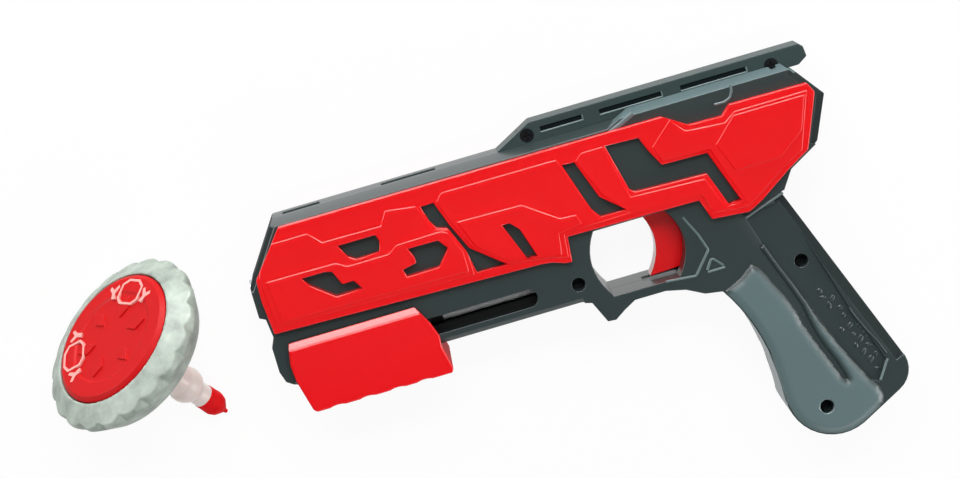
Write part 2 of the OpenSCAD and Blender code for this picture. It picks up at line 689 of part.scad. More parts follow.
// Tooth of a rack or of the crown, its pitch line on X
module rack_tooth() {
    tooth = PI * gear_m / 2 - tooth_slack;
    spread = tan(pressure) * gear_m;
    low = dedendum_share * gear_m;
    polygon([[-tooth / 2 - dedendum_share * spread, -low - root_sink],
        [tooth / 2 + dedendum_share * spread, -low - root_sink],
        [tooth / 2 - addendum_share * spread, addendum_share * gear_m],
        [-tooth / 2 + addendum_share * spread, addendum_share * gear_m]]);
}

module crown_wheel() {
    in_r = crown_r - crown_face / 2;
    color(acetal) seat_in_frame() translate([crown_x, axis_y, 0]) difference() {
        union() {
            translate([0, 0, layer_b])
                gear(small_n, gear_t + layer_gap, mesh_a - 180 + 180 / small_n);
            translate([0, 0, crown_z]) cylinder(r = in_r + crown_face, h = crown_root_z - crown_z);
            translate([0, 0, crown_z]) cylinder(r = axle_r + hub_t, h = -crown_z - shaft_r - 2 * gap);
            for (k = [0 : crown_n - 1]) rotate([0, 0, 180 + k * 360 / crown_n])
                translate([in_r, 0, crown_pitch_z]) rotate([90, 0, 90]) linear_extrude(crown_face)
                    rack_tooth();
        }
        translate([0, 0, -shell_w]) cylinder(r = axle_r + fit_c, h = 2 * shell_w);
    }
}

module spindle() {
    color(nylon) seat_in_frame() difference() {
        union() {
            along_x(ring_w - nose_out) cylinder(r = barrel_r, h = shaft_x + nose_out - ring_w);
            along_x(-nose_out) cylinder(r = barrel_r - ring_rim, h = ring_w + cut);
            along_x(shaft_x - cut) cylinder(r = shaft_r, h = pinion_x - shaft_x + cut);
            along_x(pinion_x - cut) cylinder(r = shaft_r - journal_t, h = pinion_w + 2 * cut);
        }
        along_x(-nose_out - cut) cylinder(r = socket_r, h = socket_d + nose_out + cut);
        along_x(0) cylinder(r = bore_r, h = pinion_x + pinion_w + 2 * cut);
    }
}

module spindle_ring() {
    color(steel) seat_in_frame() along_x(-nose_out) difference() {
        cylinder(r = barrel_r, h = ring_w - fit_c);
        translate([0, 0, -cut]) cylinder(r = barrel_r - ring_rim + press_c, h = ring_w + 2 * cut);
    }
}

module spindle_pinion() {
    color(bronze) seat_in_frame() along_x(pinion_x) difference() {
        gear(spindle_n, pinion_w, 180 / spindle_n);
        translate([0, 0, -cut]) cylinder(r = shaft_r - journal_t + press_c, h = pinion_w + 2 * cut);
    }
}

module pump_half() {
    low = pump_top - pump_h;
    outline = [for (s = pump_shares) [pump_x + s[0] * pump_l, pump_top + s[1] * pump_h]];
    front_share = 0.085;
    inside_share = 0.865;
    difference() {
        linear_extrude(half_w) polygon(outline);
        translate([pump_x - cut, pump_mouth_y, -cut])
            cube([pump_l + 2 * cut, pump_h, pump_inner + cut]);
        difference() {
            translate([pump_x + front_share * pump_l, low + pump_floor, -cut])
                cube([inside_share * pump_l, pump_h, pump_inner + cut]);
            for (x = pump_screw_x) translate([x, pump_screw_y, -2 * cut])
                cylinder(r = pump_boss_r, h = half_w);
        }
        translate([carriage_x - bite_c, rod_y - carriage_h / 2 - bite_c, pump_inner - cut])
            cube([carriage_l + 2 * bite_c, carriage_h + 2 * bite_c, arm_bite + bite_c + cut]);
        for (s = pump_groove_shares) translate([pump_x + s * pump_l, low - groove_r + groove_d, -cut])
            cylinder(r = groove_r, h = half_w + 2 * cut);
        edge_wedge([pump_x + pump_l, pump_top], [pump_x, pump_top], lip, lip_d, half_w, 0);
    }
}

module pump_left() {
    color(pump_red) seat_in_frame() difference() {
        pump_half();
        for (x = pump_screw_x) translate([x, pump_screw_y, -cut])
            cylinder(r = screw_r + fit_c, h = pump_inner - screw_floor + cut);
    }
}

module pump_right() {
    seat_z = head_seat + head_h;
    color(pump_red) seat_in_frame() difference() {
        mirror([0, 0, 1]) pump_half();
        for (x = pump_screw_x) translate([x, pump_screw_y, -half_w - cut]) {
            cylinder(r = screw_r + fit_c, h = half_w + 2 * cut);
            cylinder(r = head_r + fit_c, h = cut + seat_z);
        }
    }
}

module pump_screws() {
    seat_z = head_seat + head_h;
    color(steel) seat_in_frame() for (x = pump_screw_x)
        translate([x, pump_screw_y, seat_z - half_w]) mirror([0, 0, 1])
            screw(half_w - seat_z + pump_inner - screw_floor - tip_room);
}

// Carriage on the guide rod: two arms out to the pump grip, and the rack beside the drive wheel
module carriage_rack() {
    x0 = wheel_x - stroke - rack_over;
    x1 = wheel_x + rack_over;
    pitch = PI * gear_m;
    root_y = rack_y - dedendum_share * gear_m;
    first = ceil((x0 - wheel_x) / pitch);
    last = floor((x1 - wheel_x) / pitch) - 1;
    arm_z = pump_inner + arm_bite;
    color(nylon) seat_in_frame() difference() {
        union() {
            translate([carriage_x, rod_y - carriage_h / 2, -arm_z])
                cube([carriage_l, carriage_h, 2 * arm_z]);
            along_x(carriage_x - sleeve_out, rod_y)
                cylinder(r = carriage_h / 2, h = carriage_l + 2 * sleeve_out);
            translate([carriage_x, rod_y, layer_a]) cube([carriage_l, root_y - rod_y - web_drop, gear_t]);
            translate([x0, root_y - rack_back, layer_a]) cube([x1 - x0, rack_back, gear_t]);
            for (k = [first : last]) translate([wheel_x + (k + 0.5) * pitch, rack_y, layer_a])
                linear_extrude(gear_t) rack_tooth();
            translate([return_end, rod_y, return_z - lug_t])
                cube([lug_t + cut, return_y - rod_y + lug_t, 2 * lug_t]);
        }
        along_x(carriage_x - sleeve_out - cut, rod_y)
            cylinder(r = rod_r + rod_run, h = carriage_l + 2 * sleeve_out + 2 * cut);
    }
}

module trigger() {
    color(pump_red) seat_in_frame() difference() {
        union() {
            translate([0, 0, -trigger_w]) linear_extrude(2 * trigger_w)
                polygon(concat(bez(pts(blade_front_shares), curve_n), bez(pts(blade_rear_shares), curve_n)));
            translate([pivot[0], pivot[1], -trigger_w]) cylinder(r = hub_r, h = 2 * trigger_w);
            translate([pivot[0] - neck_w / 2, pivot[1], -trigger_w])
                cube([neck_w, arm_l, 2 * trigger_w]);
            translate([pivot[0], axis_y, -trigger_w]) cylinder(r = nub_r, h = 2 * trigger_w);
        }
        translate([pivot[0] - hub_r - cut, pivot[1] + hub_r, -ejector_r - gap])
            cube([2 * (hub_r + cut), arm_l, 2 * (ejector_r + gap)]);
        translate([pivot[0], pivot[1], -trigger_w - cut])
            cylinder(r = pin_r + fit_c, h = 2 * (trigger_w + cut));
    }
}

module ejector_rod() {
    color(steel) seat_in_frame() {
        along_x(ejector_start) cylinder(r = ejector_r, h = ejector_end - ejector_start);
        for (x = [pivot[0] - nub_r - collar_gap - collar_t, pivot[0] + nub_r + collar_gap])
            along_x(x) cylinder(r = collar_r, h = collar_t);
    }
}

// A spring along X: one tube whose centre line starts and ends straight
function coil_line(l, r, turns) =
    let (n = turns * 8, straight = 2 * wire_r, run = l - 2 * straight)
    concat([[0, 0, r]], [for (i = [0 : n]) [straight + run * i / n, -r * sin(360 * turns * i / n),
        r * cos(360 * turns * i / n)]], [[l, -r * sin(360 * turns), r * cos(360 * turns)]]);
function unit(v) = v / norm(v);
function coil_side(p) = unit([0, p[1], p[2]]);
function tube_points(line) =
    [for (i = [0 : len(line) - 1])
        let (t = i == 0 || i == len(line) - 1 ? [1, 0, 0] : unit(line[i + 1] - line[i - 1]),
            u = unit(coil_side(line[i]) - (coil_side(line[i]) * t) * t),
            w = cross(t, u))
        each [for (k = [0 : 5]) line[i] + wire_r * (cos(60 * k) * u + sin(60 * k) * w)]];
module tube(line) {
    n = len(line);
    polyhedron(points = tube_points(line), faces = concat(
        [for (i = [0 : n - 2]) for (k = [0 : 5]) let (a = i * 6 + k, b = i * 6 + (k + 1) % 6)
            each [[a, a + 6, b + 6], [a, b + 6, b]]],
        [[for (k = [0 : 5]) k]], [[for (k = [5 : -1 : 0]) (n - 1) * 6 + k]]));
}
coil_gap = (return_end - return_x - 4 * wire_r) / return_turns - 2 * wire_r;
trigger_coil_gap = (rib_x - trigger_spring_x - 4 * wire_r) / trigger_turns - 2 * wire_r;
echo(return_spring_gap = coil_gap, trigger_spring_gap = trigger_coil_gap);

module return_spring() {
    color(steel) seat_in_frame() translate([return_x, return_y, return_z])
        tube(coil_line(return_end - return_x, return_r - wire_r, return_turns));
}

module trigger_spring() {
    color(steel) seat_in_frame() translate([trigger_spring_x, trigger_spring_y, 0])
        tube(coil_line(rib_x - trigger_spring_x, trigger_spring_r - wire_r, trigger_turns));
}

// The top, along Z from its tip
screw_place_share = 0.55;
post_turns = [30, 150, 270];

module top_ring() {
    seat_r = face_r + seat_c;
    low_share = 0.84;
    high_share = 0.72;
    color(ring_grey) seat_on_table() difference() {
        intersection() {
            union() {
                translate([0, 0, stem_l]) cylinder(r = lobe_seat + lobe_bite, h = ring_t);
                for (k = [0 : lobes - 1]) rotate([0, 0, k * 360 / lobes])
                    translate([lobe_seat, 0, stem_l]) cylinder(r = lobe_r, h = ring_t);
            }
            rotate_extrude() polygon([[0, stem_l], [ring_r * low_share, stem_l], [ring_r, ring_low_l],
                [ring_r, stem_l + ring_t * high_share], [seat_r + seat_lip, stem_l + ring_t],
                [0, stem_l + ring_t]]);
        }
        translate([0, 0, stem_l + ring_floor]) cylinder(r = face_r - cavity_in, h = ring_t);
        translate([0, 0, plate_l]) cylinder(r = seat_r, h = ring_t);
        translate([0, 0, stem_l - cut]) cylinder(r = neck_r + seam_c, h = ring_t);
        for (a = post_turns) rotate([0, 0, a]) translate([face_r * screw_place_share, 0, stem_l - cut])
            cylinder(r = screw_r + fit_c, h = ring_t);
    }
}

module top_weight() {
    bore_share = 0.7;
    color(steel) seat_on_table() translate([0, 0, stem_l + ring_floor]) difference() {
        cylinder(r = face_r - cavity_in - weight_c, h = weight_t);
        translate([0, 0, -cut]) cylinder(r = face_r * bore_share, h = weight_t + 2 * cut);
    }
}

module top_cap() {
    rim_shares = [0.72, 0.68];
    mark_shares = [[0.3, 0], [0.46, 0.1], [0.64, 0], [0.46, -0.1]];
    color(cover_red) seat_on_table() difference() {
        union() {
            rotate_extrude() polygon([[0, plate_l], [face_r, plate_l], [face_r, plate_l + plate_t],
                [face_r - cap_bevel, cap_l], [face_r * rim_shares[0], cap_l],
                [face_r * rim_shares[1], cap_l - cap_sink], [0, cap_l - cap_sink]]);
            for (a = [0 : 60 : 300]) rotate([0, 0, a]) translate([0, 0, plate_l])
                linear_extrude(cap_l - plate_l) polygon(mark_shares * face_r);
            for (a = post_turns) rotate([0, 0, a])
                translate([face_r * screw_place_share, 0, stem_l + ring_floor])
                    cylinder(r = screw_r + post_t, h = plate_l - stem_l - ring_floor + cut);
        }
        for (a = post_turns) rotate([0, 0, a]) translate([face_r * screw_place_share, 0, stem_l])
            cylinder(r = screw_r + fit_c, h = plate_l - stem_l);
    }
}

module top_stem() {
    bulb_share = 0.49;
    bulb_l = stem_l * bulb_share;
    color(milky) seat_on_table() {
        translate([0, 0, tip_l - spigot_l]) cylinder(r = neck_r - spigot_in, h = spigot_l + cut);
        translate([0, 0, tip_l]) cylinder(r = neck_r, h = stem_l - tip_l + ring_floor + flange_t);
        translate([0, 0, bulb_l]) sphere(r = bulb_r);
        translate([0, 0, bulb_l]) cylinder(r = neck_r + bulb_rise, h = stem_l - bulb_l);
        translate([0, 0, stem_l + ring_floor]) cylinder(r = neck_r + flange_rise, h = flange_t);
    }
}

module top_tip() {
    tip_shares = [0.72, 0.5, 0.86];
    hex_share = 1.13;
    color(pump_red) seat_on_table() difference() {
        intersection() {
            rotate_extrude() polygon(concat([[0, tip_l], [tip_r, tip_l],
                [tip_r + tip_rise, tip_l * tip_shares[0]], [tip_r * tip_shares[2], tip_l * tip_shares[1]]],
                [for (a = [30 : -15 : -90]) tip_nose_r * [cos(a), 1 + sin(a)]]));
            cylinder(r = tip_r * hex_share, h = tip_l, $fn = 6);
        }
        translate([0, 0, tip_l - spigot_l - fit_c])
            cylinder(r = neck_r - spigot_in + press_c, h = spigot_l + cut);
    }
}

module top_screws() {
    color(steel) seat_on_table() for (a = post_turns) rotate([0, 0, a])
        translate([face_r * screw_place_share, 0, stem_l]) mirror([0, 0, 1])
            screw(plate_l - stem_l - tip_room);
}

left_shell();
right_shell();
left_cover();
right_cover();
sight_rail();
shell_screws();
rail_screws();
front_bush();
rear_bush();
guide_rod();
wheel_axle();
crown_axle();
trigger_pin();
return_spring();
trigger_spring();
pump_left();
pump_right();
pump_screws();
carriage_rack();
drive_wheel();
crown_wheel();
spindle();
spindle_pinion();
spindle_ring();
trigger();
ejector_rod();
top_ring();
top_cap();
top_weight();
top_stem();
top_tip();
top_screws();
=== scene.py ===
"""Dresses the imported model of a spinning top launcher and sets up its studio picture.

The launcher lies on its right side: X runs from the nose to the rear, Y from the grip to the rail, Z up.
"""
import json
import math

import bmesh
import bpy
from mathutils import Matrix, Vector
from mathutils.geometry import delaunay_2d_cdt, intersect_line_line_2d


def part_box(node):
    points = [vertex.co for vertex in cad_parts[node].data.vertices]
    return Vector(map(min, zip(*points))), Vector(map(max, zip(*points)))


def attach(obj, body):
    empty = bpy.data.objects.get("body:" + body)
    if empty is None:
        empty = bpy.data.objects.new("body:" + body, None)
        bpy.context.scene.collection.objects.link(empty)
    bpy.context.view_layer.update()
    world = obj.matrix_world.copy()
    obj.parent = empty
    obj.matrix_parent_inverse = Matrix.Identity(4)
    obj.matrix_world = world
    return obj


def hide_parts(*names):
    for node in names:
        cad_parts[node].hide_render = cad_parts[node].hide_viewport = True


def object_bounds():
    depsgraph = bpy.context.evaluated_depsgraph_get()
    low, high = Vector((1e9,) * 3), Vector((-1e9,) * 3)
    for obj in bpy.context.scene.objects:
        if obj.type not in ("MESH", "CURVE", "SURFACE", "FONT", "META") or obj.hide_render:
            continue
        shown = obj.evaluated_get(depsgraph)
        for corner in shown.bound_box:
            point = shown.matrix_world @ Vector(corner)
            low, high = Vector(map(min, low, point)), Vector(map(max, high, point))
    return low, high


bl_info = {
    "name": "Spinning Top Launcher Finisher",
    "version": (1, 0, 0),
    "blender": (4, 5, 0),
    "location": "View3D > Sidebar > Launcher",
    "description": "Moulded edges, grip relief, materials, stage and camera for the spinning top launcher",
    "category": "Object",
}

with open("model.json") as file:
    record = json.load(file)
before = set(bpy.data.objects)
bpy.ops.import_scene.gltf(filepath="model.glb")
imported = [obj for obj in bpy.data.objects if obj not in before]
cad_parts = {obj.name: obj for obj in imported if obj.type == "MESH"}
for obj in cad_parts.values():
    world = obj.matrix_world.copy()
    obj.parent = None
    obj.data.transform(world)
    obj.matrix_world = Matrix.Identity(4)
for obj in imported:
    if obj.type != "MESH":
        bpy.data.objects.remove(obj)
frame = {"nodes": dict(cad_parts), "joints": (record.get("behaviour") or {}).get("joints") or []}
CAD_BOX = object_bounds()
MM = 0.001
# The socket's mouth stands this far ahead of the body's nose, and this far below the body's own zero line
NOSE = Vector((0.6 * MM, 2.503 * MM, 0.0))


def srgb(code):
    """Linear red, green and blue of an sRGB hex colour."""
    parts = [int(code[i:i + 2], 16) / 255 for i in (1, 3, 5)]
    return tuple(c / 12.92 if c <= 0.04045 else ((c + 0.055) / 1.055) ** 2.4 for c in parts)


def colour(name, description, code):
    return bpy.props.FloatVectorProperty(name=name, description=description, subtype="COLOR", size=3,
                                         min=0.0, max=1.0, default=srgb(code))


def length(name, description, millimetres):
    return bpy.props.FloatProperty(name=name, description=description, unit="LENGTH", subtype="DISTANCE",
                                   min=0.0, precision=5, default=millimetres * MM)


class LauncherColours(bpy.types.PropertyGroup):
    cover: colour("Covers", "Glossy red of the two side covers", "#E8050D")
    pump: colour("Pump and trigger", "Glossy red of the pump grip and the trigger", "#E60812")
    shell: colour("Shells", "Dark slate of the body halves", "#2C3838")
    # Paler than the shells: painted sheen on the faces of the grip and shoulders that catch the lamps
    grip: colour("Grip cheek", "Slate painted paler as sheen on the palm side of the grip", "#5A6E70")
    rail: colour("Rail", "Grey green of the sight rail", "#2E3E3E")
    ring: colour("Ring", "Silver green of the top's ring", "#A5B1A6")
    face: colour("Face", "Red of the top's face", "#C0070C")
    marks: colour("Marks", "Pale pink of the inlays in the top's face", "#E59A92")
    stem: colour("Stem", "Milky pink white of the top's stem", "#F2E2DC")
    floor: colour("Floor", "Pale studio floor", "#F4F4F4")


class LauncherSizes(bpy.types.PropertyGroup):
    cover_edge: length("Cover edge", "Radius moulded on the edges of the covers", 0.4)
    shell_edge: length("Shell edge", "Radius moulded on the edges of the body halves", 0.25)
    pump_edge: length("Pump edge", "Radius moulded on the edges of the pump grip", 0.6)
    trigger_edge: length("Trigger edge", "Radius moulded on the edges of the trigger", 0.42)
    pump_brow: length("Pump brow", "Radius moulded along the top of the pump grip", 1.1)
    rail_edge: length("Rail edge", "Radius moulded on the edges of the sight rail", 0.3)
    ring_cell: length("Ring wear", "Size of the cells that wear the ring's edges round", 0.4)
    collar: length("Tip collar", "How far the tip's red collar reaches up the stem", 2.8)
    tip_edge: length("Tip edge", "Radius moulded on the top's stem, tip and face", 0.2)
    cheek_rise: length("Cheek crown", "How far the grip's cheeks swell out of the shells", 1.3)
    cheek_edge: length("Cheek edge", "Width over which the grip's cheeks rise", 3.0)
    line_w: length("Raised line", "Width of the raised lines on the grip and guard", 0.9)
    line_h: length("Raised line height", "How far the raised lines stand proud", 0.35)
    bump_w: length("Bump", "Mean width of the bumps in the grip's panel", 2.4)
    camera_reach: length("Camera distance", "Distance of the camera from the launcher", 1000.0)
    camera_width: length("Picture width", "Width of the picture at the launcher", 334.6)
    camera_tilt: bpy.props.FloatProperty(name="Camera tilt", description="Lean of the camera over the rail",
                                         subtype="ANGLE", default=math.radians(9.5))
    camera_roll: bpy.props.FloatProperty(name="Camera roll", description="Turn of the picture",
                                         subtype="ANGLE", default=math.radians(16.3))


# Outlines and places in millimetres of the body, from its nose and its zero line, on the face they lie on
SHELL_FACE = 15.0
PANEL_FLOOR = 13.5
# The cheek fills the finger side and the foot of the grip, and comes up again as a rib behind a groove
CHEEK = ((156.5, -44.6), (158.6, -47.9), (160.5, -51.7), (162.3, -55.6), (163.8, -59.7), (165.0, -64.0),
         (166.0, -68.4), (166.5, -71.4), (167.6, -89.0), (167.7, -90.7), (168.4, -93.4), (169.5, -96.0),
         (171.0, -98.3), (172.9, -100.3), (175.1, -102.0), (177.6, -103.3), (180.2, -104.2), (183.0, -104.6),
         (185.8, -104.6), (188.5, -104.0), (191.1, -103.1), (199.6, -98.6), (200.6, -95.7), (199.4, -91.6),
         (197.3, -88.6), (195.3, -84.6), (193.2, -80.5), (190.3, -74.4), (187.8, -68.4), (185.1, -62.2),
         (183.2, -56.6), (180.2, -48.6), (176.3, -39.0), (174.0, -32.4), (172.6, -33.4), (174.8, -39.6),
         (178.4, -49.0), (181.1, -57.0), (182.0, -62.8), (183.2, -68.5), (185.0, -73.5), (187.2, -79.0),
         (188.8, -84.0), (189.4, -86.6), (188.2, -85.2), (185.2, -77.3), (182.2, -69.7), (179.9, -63.4),
         (178.8, -58.4), (176.6, -52.4), (173.6, -46.3), (170.6, -40.0), (167.8, -38.0), (163.0, -41.6))
# So many of its sides, from the first, lie along the grip's own outline, where its painted sheen doesn't fade
CHEEK_BOLD = 21
# The screw hole in the cheek: its place and its radius
CHEEK_HOLE = (180.13, -93.79, 2.45)
# The panel behind the rib, where the bumps stand
BUMPY = ((186, -48), (191, -56), (199.5, -68), (203.5, -80), (201.5, -88.2), (196, -79.5), (191, -66))
# A curl and a wide foot on the shoulders, the lines and the triangle beside the guard, and the grip's lines
SHOULDER_LINES = (((177.4, 24.0), (177.2, 22.0), (176.2, 19.9), (173.9, 18.9), (170.3, 19.0)),)
SHOULDER_FOOT = (((132.4, 19.4), (137.5, 21.6), (142.6, 24.0)),)
GUARD_LINES = (((149.5, -15.5), (153, -22.8), (155, -28.9), (148.5, -36.5), (138, -35.5)),
               ((152.8, -36.4), (159, -36.4)),
               ((152.8, -35.6), (155.2, -31.8), (158.6, -35.6)))
GRIP_LINES = (((170.5, -21.9), (177, -19.6), (185, -17.0)),
              ((205, -83.6), (200.6, -90.3)))
PANEL_RIDGE = (((196.5, -62.4), (198, -66.5), (200.5, -72), (203, -76.6), (205, -81.7)),)
# Where the shells' finish changes: the finger side of the grip, the shoulders beside the rail, the nose's
# slanted faces, the back edges, and the walls inside the pump's slot
FINGER_SIDE = ((154, 172.5), (-99, -45))
SHOULDER_START = (131, 22.2)
NOSE_END = 14
BACK_START = 175
SLOT_WALLS = (-33, -20)
SLOT_END = 96.0
SLOT_UNDER_PUMP = 6
SLOT_DEPTH = 14.8
# The rail's side slots: where each one starts and ends, the heights of its edges, and the bead on its lip
RAIL_FACE = 6.0
RAIL_SLOTS = ((111.1, 125.8), (132.3, 154.3), (161.4, 184.7))
RAIL_SLOT_LOW = 25.88
RAIL_SLOT_HIGH = 27.3
LIP_OUT = 0.4
LIP_WIDTH = 0.55
LIP_HEIGHT = 0.4
LIP_CORNER = 0.2
# Marks inlaid in the top's face: where they stand, their hexagonal band, their wings and their two levels
MARK_RADIUS = 17.0
MARK_TURNS = (-60, 60)
MARK_HOOP = ((-4.6, -3.2), (-2.6, -5.6), (3.0, -5.6), (5.2, -2.8), (5.2, 2.8), (3.0, 5.6),
             (-2.6, 5.6), (-4.6, 3.2))
MARK_BAND = 1.0
MARK_WING = ((-2.8, 6.6), (-0.8, 7.6), (1.8, 6.4), (2.5, 7.2), (0.4, 8.7), (1.4, 10.6),
             (0.3, 11.0), (-1.0, 9.2), (-3.3, 8.2))
MARK_LEVELS = (59.3, 60.12)
# The top's tip: its length and its radius where it meets the stem
TIP_LENGTH = 10.0
TIP_RADIUS = 4.4
# The collar above the tip: its bore, how far it laps over the tip, and its chamfer
COLLAR_BORE = 3.9
COLLAR_LAP = 0.3
COLLAR_CHAMFER = 0.2
# The brow of the pump reaches this far down its side and this far in from its side
BROW = (0.5, 2.5)
# What the camera looks at on the mid-plane, and half of the floor's side in metres
CAMERA_AIM = (80.5, -5.4)
FLOOR_REACH = 3.0
# How far the floor shines by itself, to the camera and in mirrors, and how far the room lights the launcher
FLOOR_GLOW = 0.93
ROOM_LIGHT = 0.13
# Across the picture, up the picture and out of it in metres, then width, height and power
LAMPS = (("key", -0.1, 0.6, 1.25, 1.0, 0.6, 8.0),
         ("top_strip", -0.15, 0.95, 0.22, 1.4, 0.3, 12.0),
         ("overhead", 0.0, 0.34, 1.05, 1.0, 0.1, 3.2),
         ("slot_strip", 0.09, -0.32, 1.0, 1.0, 0.08, 2.0),
         ("rear_strip", 0.95, 0.3, 0.3, 0.7, 0.25, 1.8),
         ("glow_top", -0.1, 0.95, 0.46, 1.4, 0.45, 22.0),
         ("glow_nose", -1.0, 0.25, 0.4, 0.8, 0.5, 11.0),
         ("glow_rear", 1.0, -0.2, 0.4, 0.8, 0.5, 10.0),
         ("nose_strip", -1.0, -0.05, 0.35, 0.6, 0.25, 1.2),
         ("fill", 0.5, -0.95, 0.45, 1.0, 0.5, 3.5))
SIDES = (("left", 1), ("right", -1))


# Materials

COVER_RED = "Red ABS, polished mould"
PUMP_RED = "Red ABS, pump and trigger"
MATT_RED = "Red ABS, matt ends"
SHELL_SLATE = "Slate ABS, spark eroded mould"
# The palm and cheek slates are paler than the shells: painted sheen
PAINTED_SHEEN_SLATE = "Slate ABS, painted sheen"
CHEEK_SHEEN_SLATE = "Slate ABS, cheek with painted sheen"
# The blasted and slot slates are darker than the shells: painted shade
BLASTED_SHADE_SLATE = "Slate ABS, coarse with painted shade"
DULL_SHADE_SLATE = "Slate ABS, dull with painted shade"
# Width in millimetres of the clouds that the flow of the melt leaves, and the plastics' index of refraction
FLOW_MARK = 38
ABS_IOR = 1.53


def add(tree, kind, links=None, **settings):
    """One node with its settings, and its inputs as values or as sockets to link."""
    item = tree.nodes.new(kind)
    for key, value in settings.items():
        setattr(item, key, value)
    for key, value in (links or {}).items():
        if isinstance(value, bpy.types.NodeSocket):
            tree.links.new(value, item.inputs[key])
        else:
            item.inputs[key].default_value = value
    return item


def new_material(name):
    """An empty node material, its tree and its Object coordinates."""
    made = bpy.data.materials.new(name)
    made.use_nodes = True
    tree = made.node_tree
    tree.nodes.clear()
    return made, tree, add(tree, "ShaderNodeTexCoord").outputs["Object"]


def per_mm(size):
    """Noise scale whose features are about this many millimetres across."""
    return 1.0 / (size * MM)


def noise(tree, place, size, detail, **more):
    """The value of a noise with features of this size in millimetres."""
    inputs = {"Vector": place, "Scale": per_mm(size), "Detail": detail, **more}
    return add(tree, "ShaderNodeTexNoise", inputs).outputs[0]


def bumped(tree, height, strength, depth):
    """The normal of a surface with this relief, its depth in millimetres."""
    inputs = {"Height": height, "Strength": strength, "Distance": depth * MM}
    return add(tree, "ShaderNodeBump", inputs).outputs["Normal"]


def spread(tree, value, low, high):
    """A value from nought to one, moved to lie between two others."""
    return add(tree, "ShaderNodeMapRange", {"Value": value, "To Min": low, "To Max": high}).outputs["Result"]


def surfaced(made, tree, **inputs):
    """Ends a material in one surface with these inputs, their names' spaces as underscores."""
    given = {key.replace("_", " "): value for key, value in inputs.items()}
    surface = add(tree, "ShaderNodeBsdfPrincipled", given)
    add(tree, "ShaderNodeOutputMaterial", {"Surface": surface.outputs[0]})
    return made


def moulded(name, rgb, rough, grain, depth, cloud=0.08, octaves=3.0, gloss=0.5, rim=None, **light):
    """Injection moulded plastic: flow clouds in its colour and the mould's grain in its surface.

    The grain and its depth are in millimetres. With a rim colour it fades to that colour where the piece's
    attribute "sheen_share" falls to nothing: the colour inside is a painted sheen that fades out at the rim.
    """
    made, tree, place = new_material(name)
    tone = add(tree, "ShaderNodeMix", {"Factor": noise(tree, place, FLOW_MARK, 2.0),
                                       "A": (*[c * (1 - cloud) for c in rgb], 1),
                                       "B": (*[min(1.0, c * (1 + cloud)) for c in rgb], 1)},
               data_type="RGBA")
    # The fade to the rim colour: a painted sheen, paler inside the piece
    if rim:
        sheen_share = add(tree, "ShaderNodeAttribute", attribute_name="sheen_share")
        fade = add(tree, "ShaderNodeMapRange",
                   {"Value": sheen_share.outputs["Fac"], "From Min": 0.1, "From Max": 0.9},
                   interpolation_type="SMOOTHSTEP")
        tone = add(tree, "ShaderNodeMix", {"Factor": fade.outputs["Result"], "A": (*rim, 1),
                                           "B": tone.outputs["Result"]}, data_type="RGBA")
    height = noise(tree, place, grain, octaves)
    return surfaced(made, tree, Base_Color=tone.outputs["Result"], IOR=ABS_IOR, Specular_IOR_Level=gloss,
                    Roughness=spread(tree, height, rough * 0.9, rough * 1.1),
                    Normal=bumped(tree, height, 0.5, depth), **light)


def drawn_metal(name, code, rough, grain, metal=1.0):
    """Drawn or turned metal: fine lines round the work that stretch its highlights."""
    made, tree, place = new_material(name)
    stretch = add(tree, "ShaderNodeMapping", {"Vector": place, "Scale": (0.15, 1.0, 1.0)})
    height = noise(tree, stretch.outputs[0], grain, 2.0)
    return surfaced(made, tree, Base_Color=(*srgb(code), 1), Metallic=metal,
                    Roughness=spread(tree, height, rough * 0.7, rough * 1.3),
                    Normal=bumped(tree, height, 0.3, 0.01))


def pearl_ring(name, rgb, cloud, flake, dark, bright):
    """Clear polystyrene filled with silver flake: a milky body with bright clouds and a soft glint.

    The clouds and flakes are in millimetres, and the clouds run between a darker and a brighter colour.
    """
    made, tree, place = new_material(name)
    clouds = noise(tree, place, cloud, 4.0, Roughness=0.6)
    tone = add(tree, "ShaderNodeValToRGB", {"Fac": clouds})
    for stop, position, share in zip(tone.color_ramp.elements, (0.3, 0.7), (dark, bright)):
        stop.position = position
        stop.color = (*[min(1.0, v * share) for v in rgb], 1)
    flakes = add(tree, "ShaderNodeTexVoronoi", {"Vector": place, "Scale": per_mm(flake)})
    return surfaced(made, tree, Base_Color=tone.outputs["Color"], Specular_IOR_Level=0.4,
                    Roughness=spread(tree, flakes.outputs["Distance"], 0.38, 0.55),
                    Normal=bumped(tree, clouds, 0.4, 0.25))


